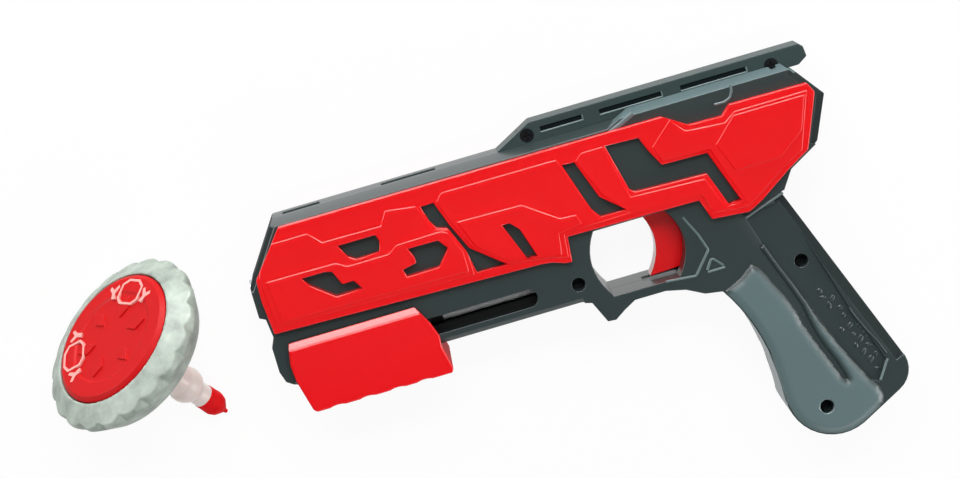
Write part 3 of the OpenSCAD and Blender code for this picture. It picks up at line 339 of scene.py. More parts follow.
def finishes():
    """Every finish of the launcher, made once."""
    if COVER_RED in bpy.data.materials:
        return bpy.data.materials
    c = bpy.context.scene.launcher_colours
    # ABS moulded in a polished steel mould: a clean gloss with a faint waviness
    moulded(COVER_RED, c.cover, rough=0.16, grain=2.5, depth=0.012, cloud=0.05, octaves=0.0)
    moulded(PUMP_RED, c.pump, rough=0.17, grain=2.2, depth=0.015, cloud=0.05, octaves=0.0)
    # ABS moulded in a spark eroded mould: a satin skin with a fine even grain
    moulded(SHELL_SLATE, c.shell, rough=0.32, grain=0.45, depth=0.02, cloud=0.12)
    # The same ABS painted paler: a painted sheen on the faces and raised lines that catch the lamps
    moulded(PAINTED_SHEEN_SLATE, c.grip, rough=0.36, grain=1.6, depth=0.05, cloud=0.10)
    # The swelling cheek: a painted sheen, paler inside and fading to the shells' colour towards its rim
    moulded(CHEEK_SHEEN_SLATE, c.grip, rough=0.36, grain=1.6, depth=0.05, cloud=0.10, rim=c.shell)
    # The rail comes out of its own mould, a little greyer and duller
    moulded("Grey ABS, rail", c.rail, rough=0.44, grain=0.5, depth=0.02, cloud=0.10, gloss=0.26)
    # The nose's slanted faces and the back edges, blasted coarse in the mould so that they mirror nothing,
    # and darker than the shells as painted shade
    moulded(BLASTED_SHADE_SLATE, srgb("#222A2A"), rough=0.75, grain=0.5, depth=0.04, cloud=0.12, gloss=0.08)
    # The ends of the pump and the top's tip, left matt by the mould's parting faces
    moulded(MATT_RED, c.pump, rough=0.6, grain=0.6, depth=0.02, cloud=0.06, gloss=0.08)
    # The inside of a slot, left dull by the mould's slides and near black as painted shade
    moulded(DULL_SHADE_SLATE, srgb("#121A1B"), rough=0.8, grain=0.5, depth=0.02, cloud=0.10, gloss=0.05)
    # Acetal gears: bare waxy white
    moulded("Acetal, natural", srgb("#E9E4D8"), rough=0.38, grain=0.8, depth=0.01, cloud=0.03)
    # Nylon: black with a dull slippery skin
    moulded("Nylon, black", srgb("#15181A"), rough=0.45, grain=0.6, depth=0.02, cloud=0.08)
    # Zinc plated, bright drawn and black oxide steel, and sintered bronze: turned or drawn, with fine lines
    drawn_metal("Steel, zinc plated", "#B9BEC2", rough=0.28, grain=0.4)
    # The guide rod: near white and mostly not metal, so any lamp lights it: a painted sheen for the steel's
    # shine
    drawn_metal("Steel, painted white sheen", "#F2F4F5", rough=0.4, grain=0.4, metal=0.25)
    drawn_metal("Steel, black oxide", "#2A2C2E", rough=0.4, grain=0.4)
    drawn_metal("Bronze, sintered", "#B08A4C", rough=0.45, grain=0.25)
    # Silver flake in clear plastic: clouds as wide as half a lobe
    pearl_ring("Polystyrene with silver flake", c.ring, cloud=7.0, flake=0.9, dark=0.58, bright=1.15)
    # The face is moulded matt, so that its raised plates show by their shade
    moulded("Red ABS, top face", c.face, rough=0.42, grain=1.8, depth=0.05, cloud=0.06, gloss=0.08)
    # Pad printed lacquer: a flat pale film
    moulded("Pale pink inlay", c.marks, rough=0.45, grain=0.8, depth=0.02, cloud=0.08)
    # Polypropylene without colour: light wanders through it and softens its shadows
    moulded("Milky polypropylene", c.stem, rough=0.32, grain=2.0, depth=0.03, cloud=0.03,
            Subsurface_Weight=0.35, Subsurface_Scale=4 * MM, Subsurface_Radius=(1.0, 0.6, 0.5))
    return bpy.data.materials


# Shapes

def body_point(x, y, z=0.0):
    """A point of the body given in millimetres from its nose, zero line and mid-plane."""
    return Vector((x * MM, y * MM, z * MM)) + NOSE


def from_nose(face):
    """Where a face of the body stands, in millimetres from the nose and the zero line."""
    return ((face.center[k] - NOSE[k]) / MM for k in (0, 1))


def new_object(name, data):
    """An object in the scene."""
    obj = bpy.data.objects.new(name, data)
    bpy.context.scene.collection.objects.link(obj)
    return obj


def new_mesh(name, work):
    """A mesh of what was built up in a bmesh, which ends there."""
    mesh = bpy.data.meshes.new(name)
    work.to_mesh(mesh)
    work.free()
    return mesh


def paint(obj, finish):
    """One finish on all of an object."""
    obj.data.materials.clear()
    obj.data.materials.append(finishes()[finish])


def new_piece(name, mesh, body, finish):
    """A finished mesh as a piece that rides on a body."""
    obj = new_object(name, mesh)
    paint(obj, finish)
    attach(obj, body)
    return obj


# Clear width that an edge needs for each unit of its radius, and how much more a sharp neighbour leaves
ROOM = 3.2
SHARP_ROOM = 2.6
# Beside an edge, its own outline counts as its run up to this turn
RUN_TURN = math.radians(100)
# Points of a CAD mesh closer than this are one, faces that turn less than this are one face
MERGE = 0.002 * MM
FLAT_TURN = math.radians(0.3)
# However little room it has, an edge keeps this share of its piece's radius
LEAST_WEIGHT = 0.04
# Where a face folds over, the radius of the edges beside it is cut to this share at each try
CUT = 0.4
# Twice the area, in square metres, of a folded triangle that is too small to count
SPECK = 2e-9


def evaluated(holder):
    """What an object's modifiers make of it, as a plain mesh."""
    return bpy.data.meshes.new_from_object(holder.evaluated_get(bpy.context.evaluated_depsgraph_get()))


def sides_of(outline):
    """The pairs of points that follow each other round a closed outline."""
    return list(zip(outline, outline[1:] + outline[:1]))


def from_segment(point, start, end):
    """Distance of a point from a segment."""
    run = end - start
    along = max(0.0, min(1.0, (point - start).dot(run) / max(run.length_squared, 1e-18)))
    return (point - start - run * along).length


def far_apart(p, q, r, t):
    """Distance between two segments that don't cross."""
    return min(from_segment(p, r, t), from_segment(q, r, t), from_segment(r, p, q), from_segment(t, p, q))


def edge_room(edge, reach, round_ones):
    """Clear width beside an edge on its faces, up to this reach: other edges of the face limit it.

    An edge that stays sharp leaves more room than one that gets a radius too.
    """
    room = reach
    p, q = (v.co for v in edge.verts)
    for loop in edge.link_loops:
        near = {edge.index}
        for step in ("link_loop_next", "link_loop_prev"):
            walk, turned_by, run = loop, 0.0, 0.0
            way = (q - p).normalized()
            while True:
                walk = getattr(walk, step)
                a, b = (v.co for v in walk.edge.verts)
                here = (b - a).normalized()
                turned_by += min(way.angle(here, 0.0), math.pi - way.angle(here, 0.0))
                if walk.edge.index in near or turned_by > RUN_TURN or run > reach * 1.5:
                    break
                near.add(walk.edge.index)
                way = here
                run += (b - a).length
        for other in loop.face.edges:
            if other.index not in near:
                leaves = 1.0 if other.index in round_ones else SHARP_ROOM
                room = min(room, leaves * far_apart(p, q, *(v.co for v in other.verts)))
    return room


def folded(mesh):
    """Area of the triangles that face against their own polygon, and where its outline crosses itself."""
    mesh.calc_loop_triangles()
    area, faces = 0.0, set()
    for tri in mesh.loop_triangles:
        p, q, r = (mesh.vertices[i].co for i in tri.vertices)
        normal = (q - p).cross(r - p)
        if normal.dot(mesh.polygons[tri.polygon_index].normal) < 0 and normal.length > SPECK:
            area += normal.length / 2
            faces.add(tri.polygon_index)
    spots = []
    for index in faces:
        face = mesh.polygons[index]
        i, j = sorted(range(3), key=lambda k: abs(face.normal[k]))[:2]
        sides = sides_of([mesh.vertices[v].co for v in face.vertices])
        for k, (a, b) in enumerate(sides):
            for c, d in sides[k + 2:len(sides) - (k == 0)]:
                met = intersect_line_line_2d(*(Vector((v[i], v[j])) for v in (a, b, c, d)))
                run = (b - a).length
                if met and run < MM:
                    spots.append((a + b + c + d) / 4)
                elif met:
                    spots.append(a + (b - a) * min(1.0, (met - Vector((a[i], a[j]))).length / run))
    return area, spots


def rounded(mesh, radius, segments, tries=1, crease=24.0, outer_only=False, share=None):
    """A copy of a closed mesh with a radius on its edges, smaller where an edge has little room.

    With more tries the radius shrinks where a face would fold over, and the cleanest copy is kept. The edges
    in the corners of its steps can stay sharp, and a share of the radius can be given for each edge.
    """
    work = bmesh.new()
    work.from_mesh(mesh)
    bmesh.ops.remove_doubles(work, verts=work.verts, dist=MERGE)
    bmesh.ops.dissolve_limit(work, angle_limit=FLAT_TURN, verts=work.verts, edges=work.edges)
    weight = work.edges.layers.float.new("bevel_weight_edge")
    work.edges.index_update()
    chosen = [e for e in work.edges if len(e.link_faces) == 2 and (e.is_convex or not outer_only)
              and e.calc_face_angle(0.0) > math.radians(crease)]
    round_ones = {e.index for e in chosen}
    for edge in chosen:
        most = radius * (share(edge) if share else 1.0)
        fits = min(most, edge_room(edge, most * ROOM, round_ones) / ROOM)
        edge[weight] = max(LEAST_WEIGHT, fits / radius)
    for face in work.faces:
        face.smooth = True
    plain = new_mesh("plain", work)
    if "custom_normal" in plain.attributes:
        plain.attributes.remove(plain.attributes["custom_normal"])
    holder = new_object("holder", plain)
    bevel = holder.modifiers.new("Radius", "BEVEL")
    bevel.limit_method = "WEIGHT"
    bevel.width = radius
    bevel.segments = segments
    bevel.use_clamp_overlap = False
    level = holder.modifiers.new("Flat faces stay flat", "WEIGHTED_NORMAL")
    level.mode = "FACE_AREA"
    level.weight = 100
    weights = plain.attributes["bevel_weight_edge"].data
    least, best = math.inf, None
    for attempt in range(tries):
        made = evaluated(holder)
        if tries == 1:
            best = made
            break
        area, spots = folded(made)
        if area < least:
            least, best = area, made
        for edge in plain.edges:
            a, b = (plain.vertices[i].co for i in edge.vertices)
            folds = any(from_segment(spot, a, b) < radius * 2 for spot in spots)
            if folds and weights[edge.index].value > 0:
                weights[edge.index].value *= CUT
        plain.update_tag()
    bpy.data.objects.remove(holder)
    bpy.data.meshes.remove(plain)
    return best


def softened(mesh, cell):
    """A copy of a closed mesh whose edges are all worn round, built up from cells of this size."""
    holder = new_object("holder", mesh.copy())
    cells = holder.modifiers.new("Cells", "REMESH")
    cells.mode = "VOXEL"
    cells.voxel_size = cell
    cells.use_smooth_shade = True
    wear = holder.modifiers.new("Wear", "SMOOTH")
    wear.factor = 0.5
    wear.iterations = 4
    made = evaluated(holder)
    bpy.data.objects.remove(holder)
    low = [min(v.co[k] for v in mesh.vertices) for k in range(3)]
    high = [max(v.co[k] for v in mesh.vertices) for k in range(3)]
    for v in made.vertices:
        v.co = [min(max(v.co[k], low[k]), high[k]) for k in range(3)]
    return made


def stand_in(name, mesh, node, body, finish):
    """A made mesh that stands for a CAD node."""
    mesh.name = name
    obj = new_piece(name, mesh, body, finish)
    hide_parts(node)
    return obj


def moulding(name, node, body, radius, finish, slot, segments=2, **more):
    """A moulded part: the CAD node's shape with a radius on its edges. It stands for the node."""
    mesh = rounded(frame["nodes"][node].data, radius, segments, **more)
    return stand_in(name, mesh, node, body, finish)


def inside(point, outline):
    """Whether a flat point lies inside a closed outline."""
    within = False
    for (x0, y0), (x1, y1) in sides_of(outline):
        if (y0 > point[1]) != (y1 > point[1]):
            if point[0] < x0 + (x1 - x0) * (point[1] - y0) / (y1 - y0):
                within = not within
    return within


def finer(outline, step):
    """A closed outline with points no further apart than a step."""
    dense = []
    for a, b in sides_of(outline):
        count = max(1, math.ceil(math.dist(a, b) / step))
        dense += [(a[0] + (b[0] - a[0]) * k / count, a[1] + (b[1] - a[1]) * k / count) for k in range(count)]
    return dense


# Spacing of a pad's points and of their rows in millimetres, how deep its back is sunk, its bore's sides
PAD_STEP = 0.7
PAD_ROW = PAD_STEP * 0.87
PAD_SUNK = 0.3
BORE_SIDES = 24


def pad(name, body, finish, outline, level, rise, edge, side, hole, bold):
    """A low swelling pad round a screw hole: its rim rises softly and its back is sunk a little.

    Its attribute "sheen_share" tells the finish how far a point is from the sides, after the bold ones, that
    its
    colour fades towards: the finish paints a sheen there that fades out towards those sides.
    """
    rim = finer(outline, PAD_STEP)
    *centre, radius = hole
    turns = [k * math.pi / (BORE_SIDES / 2) for k in range(BORE_SIDES)]
    bore = [(centre[0] + radius * math.cos(t), centre[1] - radius * math.sin(t)) for t in turns]
    flat, edges = [], []
    for ring in (rim, bore):
        start = len(flat)
        edges += [(start + k, start + (k + 1) % len(ring)) for k in range(len(ring))]
        flat += [Vector(p) for p in ring]
    xs, ys = [p[0] for p in rim], [p[1] for p in rim]
    row, y = 0, min(ys)
    while y < max(ys):
        x = min(xs) + (PAD_STEP / 2 if row % 2 else 0)
        while x < max(xs):
            free = inside((x, y), rim) and math.dist((x, y), centre) >= radius + PAD_STEP / 2
            if free and min(math.dist((x, y), p) for p in rim) > PAD_STEP * 0.6:
                flat.append(Vector((x, y)))
            x += PAD_STEP
        row += 1
        y += PAD_ROW
    verts, _, faces, *_ = delaunay_2d_cdt(flat, edges, [], 2, 1e-5)
    work = bmesh.new()
    sheen_share = work.verts.layers.float.new("sheen_share")
    top, low = [], []
    sides = sides_of([Vector(p) for p in outline])
    for v in verts:
        away = [from_segment(v, a, b) for a, b in sides]
        height = level + rise * math.sin(min(1.0, min(away) / edge) * math.pi / 2)
        top.append(work.verts.new(body_point(v[0], v[1], side * height)))
        # How much painted sheen the finish lays on this point
        top[-1][sheen_share] = min(1.0, min(away[bold:]) / edge)
        low.append(work.verts.new(body_point(v[0], v[1], side * (level - PAD_SUNK))))
    for face in faces:
        middle = sum((verts[i] for i in face), Vector((0, 0))) / len(face)
        if inside(middle, rim) and math.dist(middle, centre) >= radius * 0.98:
            work.faces.new([top[i] for i in face])
            work.faces.new([low[i] for i in reversed(face)])
    for bare in [e for e in work.edges if len(e.link_faces) == 1 and e.verts[0] in set(top)]:
        i, j = (top.index(v) for v in bare.verts)
        work.faces.new((top[i], top[j], low[j], low[i]))
    bmesh.ops.delete(work, geom=[v for v in work.verts if not v.link_faces], context="VERTS")
    bmesh.ops.recalc_face_normals(work, faces=work.faces)
    for face in work.faces:
        face.smooth = face.calc_center_median().z * side > (level - 0.05) * MM
    return new_piece(name, new_mesh(name, work), body, finish)


def grown(name, seed_mesh, tree, values, body, finish):
    """What a Geometry Nodes tree grows from a mesh, as a plain piece with this finish."""
    values = {**values, "Material": finishes()[finish]}
    holder = new_object("holder", seed_mesh)
    grower = holder.modifiers.new("Grow", "NODES")
    grower.node_group = tree
    for item in tree.interface.items_tree:
        if item.item_type == "SOCKET" and item.name in values:
            grower[item.identifier] = values[item.name]
    mesh = evaluated(holder)
    mesh.name = name
    bpy.data.objects.remove(holder)
    return new_piece(name, mesh, body, finish)


def grower_tree(name, sizes):
    """A Geometry Nodes tree and its inputs: a geometry, these named sizes and a material."""
    tree = bpy.data.node_groups.new(name, "GeometryNodeTree")
    tree.interface.new_socket("Geometry", in_out="INPUT", socket_type="NodeSocketGeometry")
    tree.interface.new_socket("Geometry", in_out="OUTPUT", socket_type="NodeSocketGeometry")
    for key, kind in (*sizes.items(), ("Material", "Material")):
        tree.interface.new_socket(key, in_out="INPUT", socket_type=f"NodeSocket{kind}")
    return tree, add(tree, "NodeGroupInput").outputs


def grower_end(tree, given, grown_node):
    """Ends a tree: what it grew is shaded smooth, made real and given its material."""
    smooth = add(tree, "GeometryNodeSetShadeSmooth", {"Geometry": grown_node.outputs[0]})
    solid = add(tree, "GeometryNodeRealizeInstances", {"Geometry": smooth.outputs[0]})
    done = add(tree, "GeometryNodeSetMaterial",
               {"Geometry": solid.outputs[0], "Material": given["Material"]})
    add(tree, "NodeGroupOutput", {"Geometry": done.outputs[0]})
    return tree


def raised_lines():
    """Tree that lays a flattened bead along the edges of a mesh, with rounded corners and closed ends."""
    if "Raised lines" in bpy.data.node_groups:
        return bpy.data.node_groups["Raised lines"]
    tree, given = grower_tree("Raised lines", {"Width": "Float", "Height": "Float", "Corner": "Float"})
    path = add(tree, "GeometryNodeMeshToCurve", {"Mesh": given["Geometry"]})
    eased = add(tree, "GeometryNodeFilletCurve", {"Curve": path.outputs[0], "Radius": given["Corner"],
                                                  "Count": 3, "Limit Radius": True}, mode="POLY")
    level = add(tree, "GeometryNodeSetCurveNormal", {"Curve": eased.outputs[0]}, mode="Z_UP")
    circle = add(tree, "GeometryNodeCurvePrimitiveCircle", {"Resolution": 12, "Radius": 0.5})
    squash = add(tree, "ShaderNodeCombineXYZ", {"X": given["Width"], "Y": given["Height"], "Z": 1.0})
    profile = add(tree, "GeometryNodeTransform", {"Geometry": circle.outputs[0], "Scale": squash.outputs[0]})
    bead = add(tree, "GeometryNodeCurveToMesh",
               {"Curve": level.outputs[0], "Profile Curve": profile.outputs[0], "Fill Caps": True})
    return grower_end(tree, given, bead)


def scattered_bumps():
    """Tree that scatters flat oval bumps over a flat panel."""
    if "Scattered bumps" in bpy.data.node_groups:
        return bpy.data.node_groups["Scattered bumps"]
    tree, given = grower_tree("Scattered bumps", {"Width": "Float", "Height": "Float", "Spacing": "Float",
                                                  "Seed": "Int"})
    spots = add(tree, "GeometryNodeDistributePointsOnFaces",
                {"Mesh": given["Geometry"], "Distance Min": given["Spacing"], "Density Max": 4e5,
                 "Seed": given["Seed"]}, distribute_method="POISSON")
    ball = add(tree, "GeometryNodeMeshIcoSphere", {"Radius": 0.5, "Subdivisions": 3})
    size = add(tree, "FunctionNodeRandomValue",
               {0: (0.55, 0.4, 0.6), 1: (1.35, 0.9, 1.0), "Seed": given["Seed"]}, data_type="FLOAT_VECTOR")
    whole = add(tree, "ShaderNodeCombineXYZ",
                {"X": given["Width"], "Y": given["Width"], "Z": given["Height"]})
    scale = add(tree, "ShaderNodeVectorMath", {0: size.outputs[0], 1: whole.outputs[0]},
                operation="MULTIPLY")
    turn = add(tree, "FunctionNodeRandomValue",
               {0: (0.0, 0.0, 0.0), 1: (0.0, 0.0, math.pi), "Seed": given["Seed"]}, data_type="FLOAT_VECTOR")
    placed = add(tree, "GeometryNodeInstanceOnPoints",
                 {"Points": spots.outputs["Points"], "Instance": ball.outputs["Mesh"],
                  "Rotation": turn.outputs[0], "Scale": scale.outputs[0]})
    return grower_end(tree, given, placed)


def paths_mesh(paths, height):
    """Open paths of the body as the edges of one mesh."""
    points, edges = [], []
    for path in paths:
        start = len(points)
        points += [body_point(x, y, height) for x, y in path]
        edges += [(start + k, start + k + 1) for k in range(len(path) - 1)]
    mesh = bpy.data.meshes.new("paths")
    mesh.from_pydata(points, edges, [])
    return mesh


def panel_mesh(outline, height):
    """A flat outline of the body as triangles that look up."""
    face = bpy.data.meshes.new("outline")
    face.from_pydata([body_point(x, y, height) for x, y in outline], [], [tuple(range(len(outline)))])
    work = bmesh.new()
    work.from_mesh(face)
    bpy.data.meshes.remove(face)
    bmesh.ops.triangulate(work, faces=work.faces)
    return new_mesh("panel", work)


def between(value, ends):
    """Whether a value lies between two ends."""
    return ends[0] < value < ends[1]


def shell_finishes(obj):
    """Gives parts of a shell their own finish.

    The finger side of the grip and the shoulders beside the rail, which catch the lamps, are painted a paler
    slate as sheen. The walls inside the pump's slot are dull and near black as painted shade, and the nose's
    slanted faces and the back edges, which face away from the lamps, are blasted and darker as painted shade.
    """
    for finish in (PAINTED_SHEEN_SLATE, DULL_SHADE_SLATE, BLASTED_SHADE_SLATE):
        obj.data.materials.append(finishes()[finish])
    palm, dull, blasted = 1, 2, 3
    slot = ((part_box("pump_left")[1][0] - NOSE.x) / MM - SLOT_UNDER_PUMP, SLOT_END)
    for face in obj.data.polygons:
        x, y = from_nose(face)
        way = face.normal
        # Finger side faces turned to the nose and shoulder faces turned up take the paler slate: painted
        # sheen
        if between(x, FINGER_SIDE[0]) and between(y, FINGER_SIDE[1]) and way.z < 0.9 and way.x < -0.2:
            face.material_index = palm
        elif x > SHOULDER_START[0] and y > SHOULDER_START[1] and way.y > 0.5:
            face.material_index = palm
        # The nose's slanted faces and the back edges face away from the lamps: the darker slate is painted
        # shade
        elif (x < NOSE_END and way.x < -0.5) or (x > BACK_START and way.x > 0.4 and abs(way.z) < 0.9):
            face.material_index = blasted
        # The walls inside the pump's slot: the near-black slate is painted shade
        elif between(x, slot) and between(y, SLOT_WALLS) and abs(face.center.z) < SLOT_DEPTH * MM:
            face.material_index = dull


def pump_finishes(obj):
    """Gives the ends of a pump half a matt finish."""
    obj.data.materials.append(finishes()[MATT_RED])
    for face in obj.data.polygons:
        if abs(face.normal.x) > 0.8:
            face.material_index = 1


def rail_finishes(obj):
    """Gives the floors and walls of the rail's side slots a dull finish, near black as painted shade."""
    obj.data.materials.append(finishes()[DULL_SHADE_SLATE])
    for face in obj.data.polygons:
        x, y = from_nose(face)
        along = any(between(x, (start - 0.1, end + 0.1)) for start, end in RAIL_SLOTS)
        level = between(y, (RAIL_SLOT_LOW - 0.2, RAIL_SLOT_HIGH + 0.2))
        if along and level and abs(face.center.z) < (RAIL_FACE - 0.1) * MM:
            face.material_index = 1


def face_frame():
    """The top's own frame: its origin at the tip's point and its Z along the spin axis, out of the face."""
    spin = next(j for j in frame["joints"] if j["name"] == "top_spin")
    axis = Vector(spin["axis"])
    lean = math.pi / 2 - math.asin(axis.z)
    return (Matrix.Translation(spin["pos_m"]) @ Matrix.Rotation(math.atan2(axis.y, axis.x), 4, "Z")
            @ Matrix.Rotation(lean, 4, "Y"))


def turned(name, body, finish, profile, sides=64):
    """A ring turned round the top's spin axis from a closed profile of radius and height."""
    work = bmesh.new()
    own = face_frame()
    rows = []
    for k in range(sides):
        turn = Matrix.Rotation(2 * math.pi * k / sides, 4, "Z")
        rows.append([work.verts.new(own @ turn @ Vector((r, 0, h))) for r, h in profile])
    for here, there in sides_of(rows):
        for (a, b), (c, d) in zip(sides_of(here), sides_of(there)):
            work.faces.new((a, c, d, b))
    bmesh.ops.recalc_face_normals(work, faces=work.faces)
    return new_piece(name, new_mesh(name, work), body, finish)


def slab(work, place, outline, low, high):
    """A flat plate with this outline between two heights of a frame, in millimetres."""
    rows = [[work.verts.new(place @ Vector((x * MM, y * MM, z * MM))) for x, y in outline]
            for z in (low, high)]
    work.faces.new(rows[1])
    work.faces.new(list(reversed(rows[0])))
    for (a, b), (c, d) in zip(*map(sides_of, rows)):
        work.faces.new((a, b, d, c))


def hoop(work, place, outline, width, low, high):
    """A flat closed band inside an outline round the frame's axis, in millimetres."""
    inner = [(x * (1 - width / math.hypot(x, y)), y * (1 - width / math.hypot(x, y))) for x, y in outline]
    for (a, b), (c, d) in zip(sides_of(outline), sides_of(inner)):
        slab(work, place, [a, b, d, c], low, high)
    bmesh.ops.remove_doubles(work, verts=work.verts, dist=0.001 * MM)
    twice = [f for f in work.faces if sum(1 for g in work.faces if set(g.verts) == set(f.verts)) > 1]
    bmesh.ops.delete(work, geom=twice, context="FACES")


def face_marks():
    """The mesh of the two inlaid marks, each a hexagonal band between two wings."""
    work = bmesh.new()
    for turn in MARK_TURNS:
        place = (face_frame() @ Matrix.Rotation(math.radians(turn), 4, "Z")
                 @ Matrix.Translation((MARK_RADIUS * MM, 0, 0)))
        part = bmesh.new()
        hoop(part, place, MARK_HOOP, MARK_BAND, *MARK_LEVELS)
        for sign in (-1, 1):
            slab(part, place, [(x, sign * y) for x, y in MARK_WING][::sign], *MARK_LEVELS)
        bmesh.ops.recalc_face_normals(part, faces=part.faces)
        mark = new_mesh("mark", part)
        work.from_mesh(mark)
        bpy.data.meshes.remove(mark)
    return new_mesh("top_marks", work)


# Stage

def studio_floor(pale):
    """A wide floor, seen nearly white, that still keeps the object's soft shadow."""
    level = CAD_BOX[0][2]
    corners = [(x * FLOOR_REACH, y * FLOOR_REACH, level) for x, y in ((-1, -1), (1, -1), (1, 1), (-1, 1))]
    mesh = bpy.data.meshes.new("studio_floor")
    mesh.from_pydata(corners, [], [(0, 1, 2, 3)])
    floor = new_object("studio_floor", mesh)
    # Painted board: matt to the lamps, and nearly white by itself to the camera and in mirrors and glass
    made, tree, _ = new_material("Matt white board")
    board = add(tree, "ShaderNodeBsdfDiffuse", {"Color": (*pale, 1)})
    seen = add(tree, "ShaderNodeEmission", {"Color": (1, 1, 1, 1), "Strength": 1.0})
    path = add(tree, "ShaderNodeLightPath").outputs
    rays = path["Is Camera Ray"]
    for kind in ("Is Transmission Ray", "Is Glossy Ray"):
        rays = add(tree, "ShaderNodeMath", {0: rays, 1: path[kind]}, operation="MAXIMUM").outputs[0]
    part = add(tree, "ShaderNodeMath", {0: rays, 1: FLOOR_GLOW}, operation="MULTIPLY")
    mix = add(tree, "ShaderNodeMixShader", {0: part.outputs[0], 1: board.outputs[0], 2: seen.outputs[0]})
    add(tree, "ShaderNodeOutputMaterial", {"Surface": mix.outputs[0]})
    floor.data.materials.append(made)


def studio_room():
    """An even white light from all round, which the camera sees as white."""
    world = bpy.data.worlds.new("Studio light")
    bpy.context.scene.world = world
    world.use_nodes = True
    tree = world.node_tree
    tree.nodes.clear()
    path = add(tree, "ShaderNodeLightPath")
    dim = add(tree, "ShaderNodeBackground", {"Color": (1, 1, 1, 1), "Strength": ROOM_LIGHT})
    bright = add(tree, "ShaderNodeBackground", {"Color": (1, 1, 1, 1), "Strength": 1.0})
    mix = add(tree, "ShaderNodeMixShader", {0: path.outputs["Is Camera Ray"], 1: dim.outputs[0],
                                            2: bright.outputs[0]})
    add(tree, "ShaderNodeOutputWorld", {"Surface": mix.outputs[0]})


def picture_axes(size):
    """The picture's right and up and the way out of it: the camera leans over the rail and is rolled."""
    tilt, roll = size.camera_tilt, size.camera_roll
    along = Vector((1, 0, 0))
    rise = Vector((0, math.cos(tilt), -math.sin(tilt)))
    out = Vector((0, math.sin(tilt), math.cos(tilt)))
    return along * math.cos(roll) - rise * math.sin(roll), along * math.sin(roll) + rise * math.cos(roll), out


def studio_camera(size, right, up, out):
    """The camera at the photograph's viewing angle."""
    camera = new_object("studio_camera", bpy.data.cameras.new("studio_camera"))
    camera.data.sensor_fit = "HORIZONTAL"
    camera.data.angle = 2 * math.atan(size.camera_width / 2 / size.camera_reach)
    camera.data.clip_start = 10 * MM
    spot = body_point(*CAMERA_AIM) + out * size.camera_reach
    camera.matrix_world = Matrix.Translation(spot) @ Matrix((right, up, out)).transposed().to_4x4()
    bpy.context.scene.camera = camera


def studio_lamps(right, up, out):
    """Soft lamps round the launcher, all turned to what the camera looks at."""
    target = body_point(*CAMERA_AIM)
    for name, across, over, away, wide, high, power in LAMPS:
        lamp = new_object(f"softbox_{name}", bpy.data.lights.new(f"softbox_{name}", "AREA"))
        lamp.data.shape = "RECTANGLE"
        lamp.data.size = wide
        lamp.data.size_y = high
        lamp.data.energy = power
        spot = target + right * across + up * over + out * away
        facing = (spot - target).to_track_quat("Z", "Y").to_matrix().to_4x4()
        lamp.matrix_world = Matrix.Translation(spot) @ facing
        # The strip that reaches into the slot would veil the covers if they mirrored it
        lamp.visible_glossy = name != "slot_strip"
        # The glows only show as pale lines along the polished edges
        lamp.visible_diffuse = not name.startswith("glow")


# Operators and panel

class LAUNCHER_OT_covers(bpy.types.Operator):
    """Make the two glossy side covers with their moulded edges"""
    bl_idname = "launcher.covers"
    bl_label = "Side covers"

    def execute(self, context):
        size = context.scene.launcher_sizes
        for side, _ in SIDES:
            moulding(f"{side}_cover_moulding", f"{side}_cover", "body", size.cover_edge, COVER_RED,
                     "cover_red", tries=6, outer_only=True)
        return {"FINISHED"}


class LAUNCHER_OT_shells(bpy.types.Operator):
    """Make the body halves and the sight rail with their moulded edges, and the lips of the rail's slots"""
    bl_idname = "launcher.shells"
    bl_label = "Body halves and rail"

    def execute(self, context):
        size = context.scene.launcher_sizes
        for side, _ in SIDES:
            shell_finishes(moulding(f"{side}_shell_moulding", f"{side}_shell", "body", size.shell_edge,
                                    SHELL_SLATE, "shell_grey"))
        rail_finishes(moulding("sight_rail_moulding", "sight_rail", "body", size.rail_edge, "Grey ABS, rail",
                               "rail_grey"))
        low = RAIL_SLOT_LOW - LIP_OUT
        lips = [((start, low), (end + LIP_OUT, low), (end + LIP_OUT, RAIL_SLOT_HIGH))
                for start, end in RAIL_SLOTS]
        values = {"Width": LIP_WIDTH * MM, "Height": LIP_HEIGHT * MM, "Corner": LIP_CORNER * MM}
        # The lips take the paler slate: a painted highlight along them
        for side, sign in SIDES:
            grown(f"{side}_rail_lips", paths_mesh(lips, sign * RAIL_FACE), raised_lines(), values, "body",
                  PAINTED_SHEEN_SLATE)
        return {"FINISHED"}


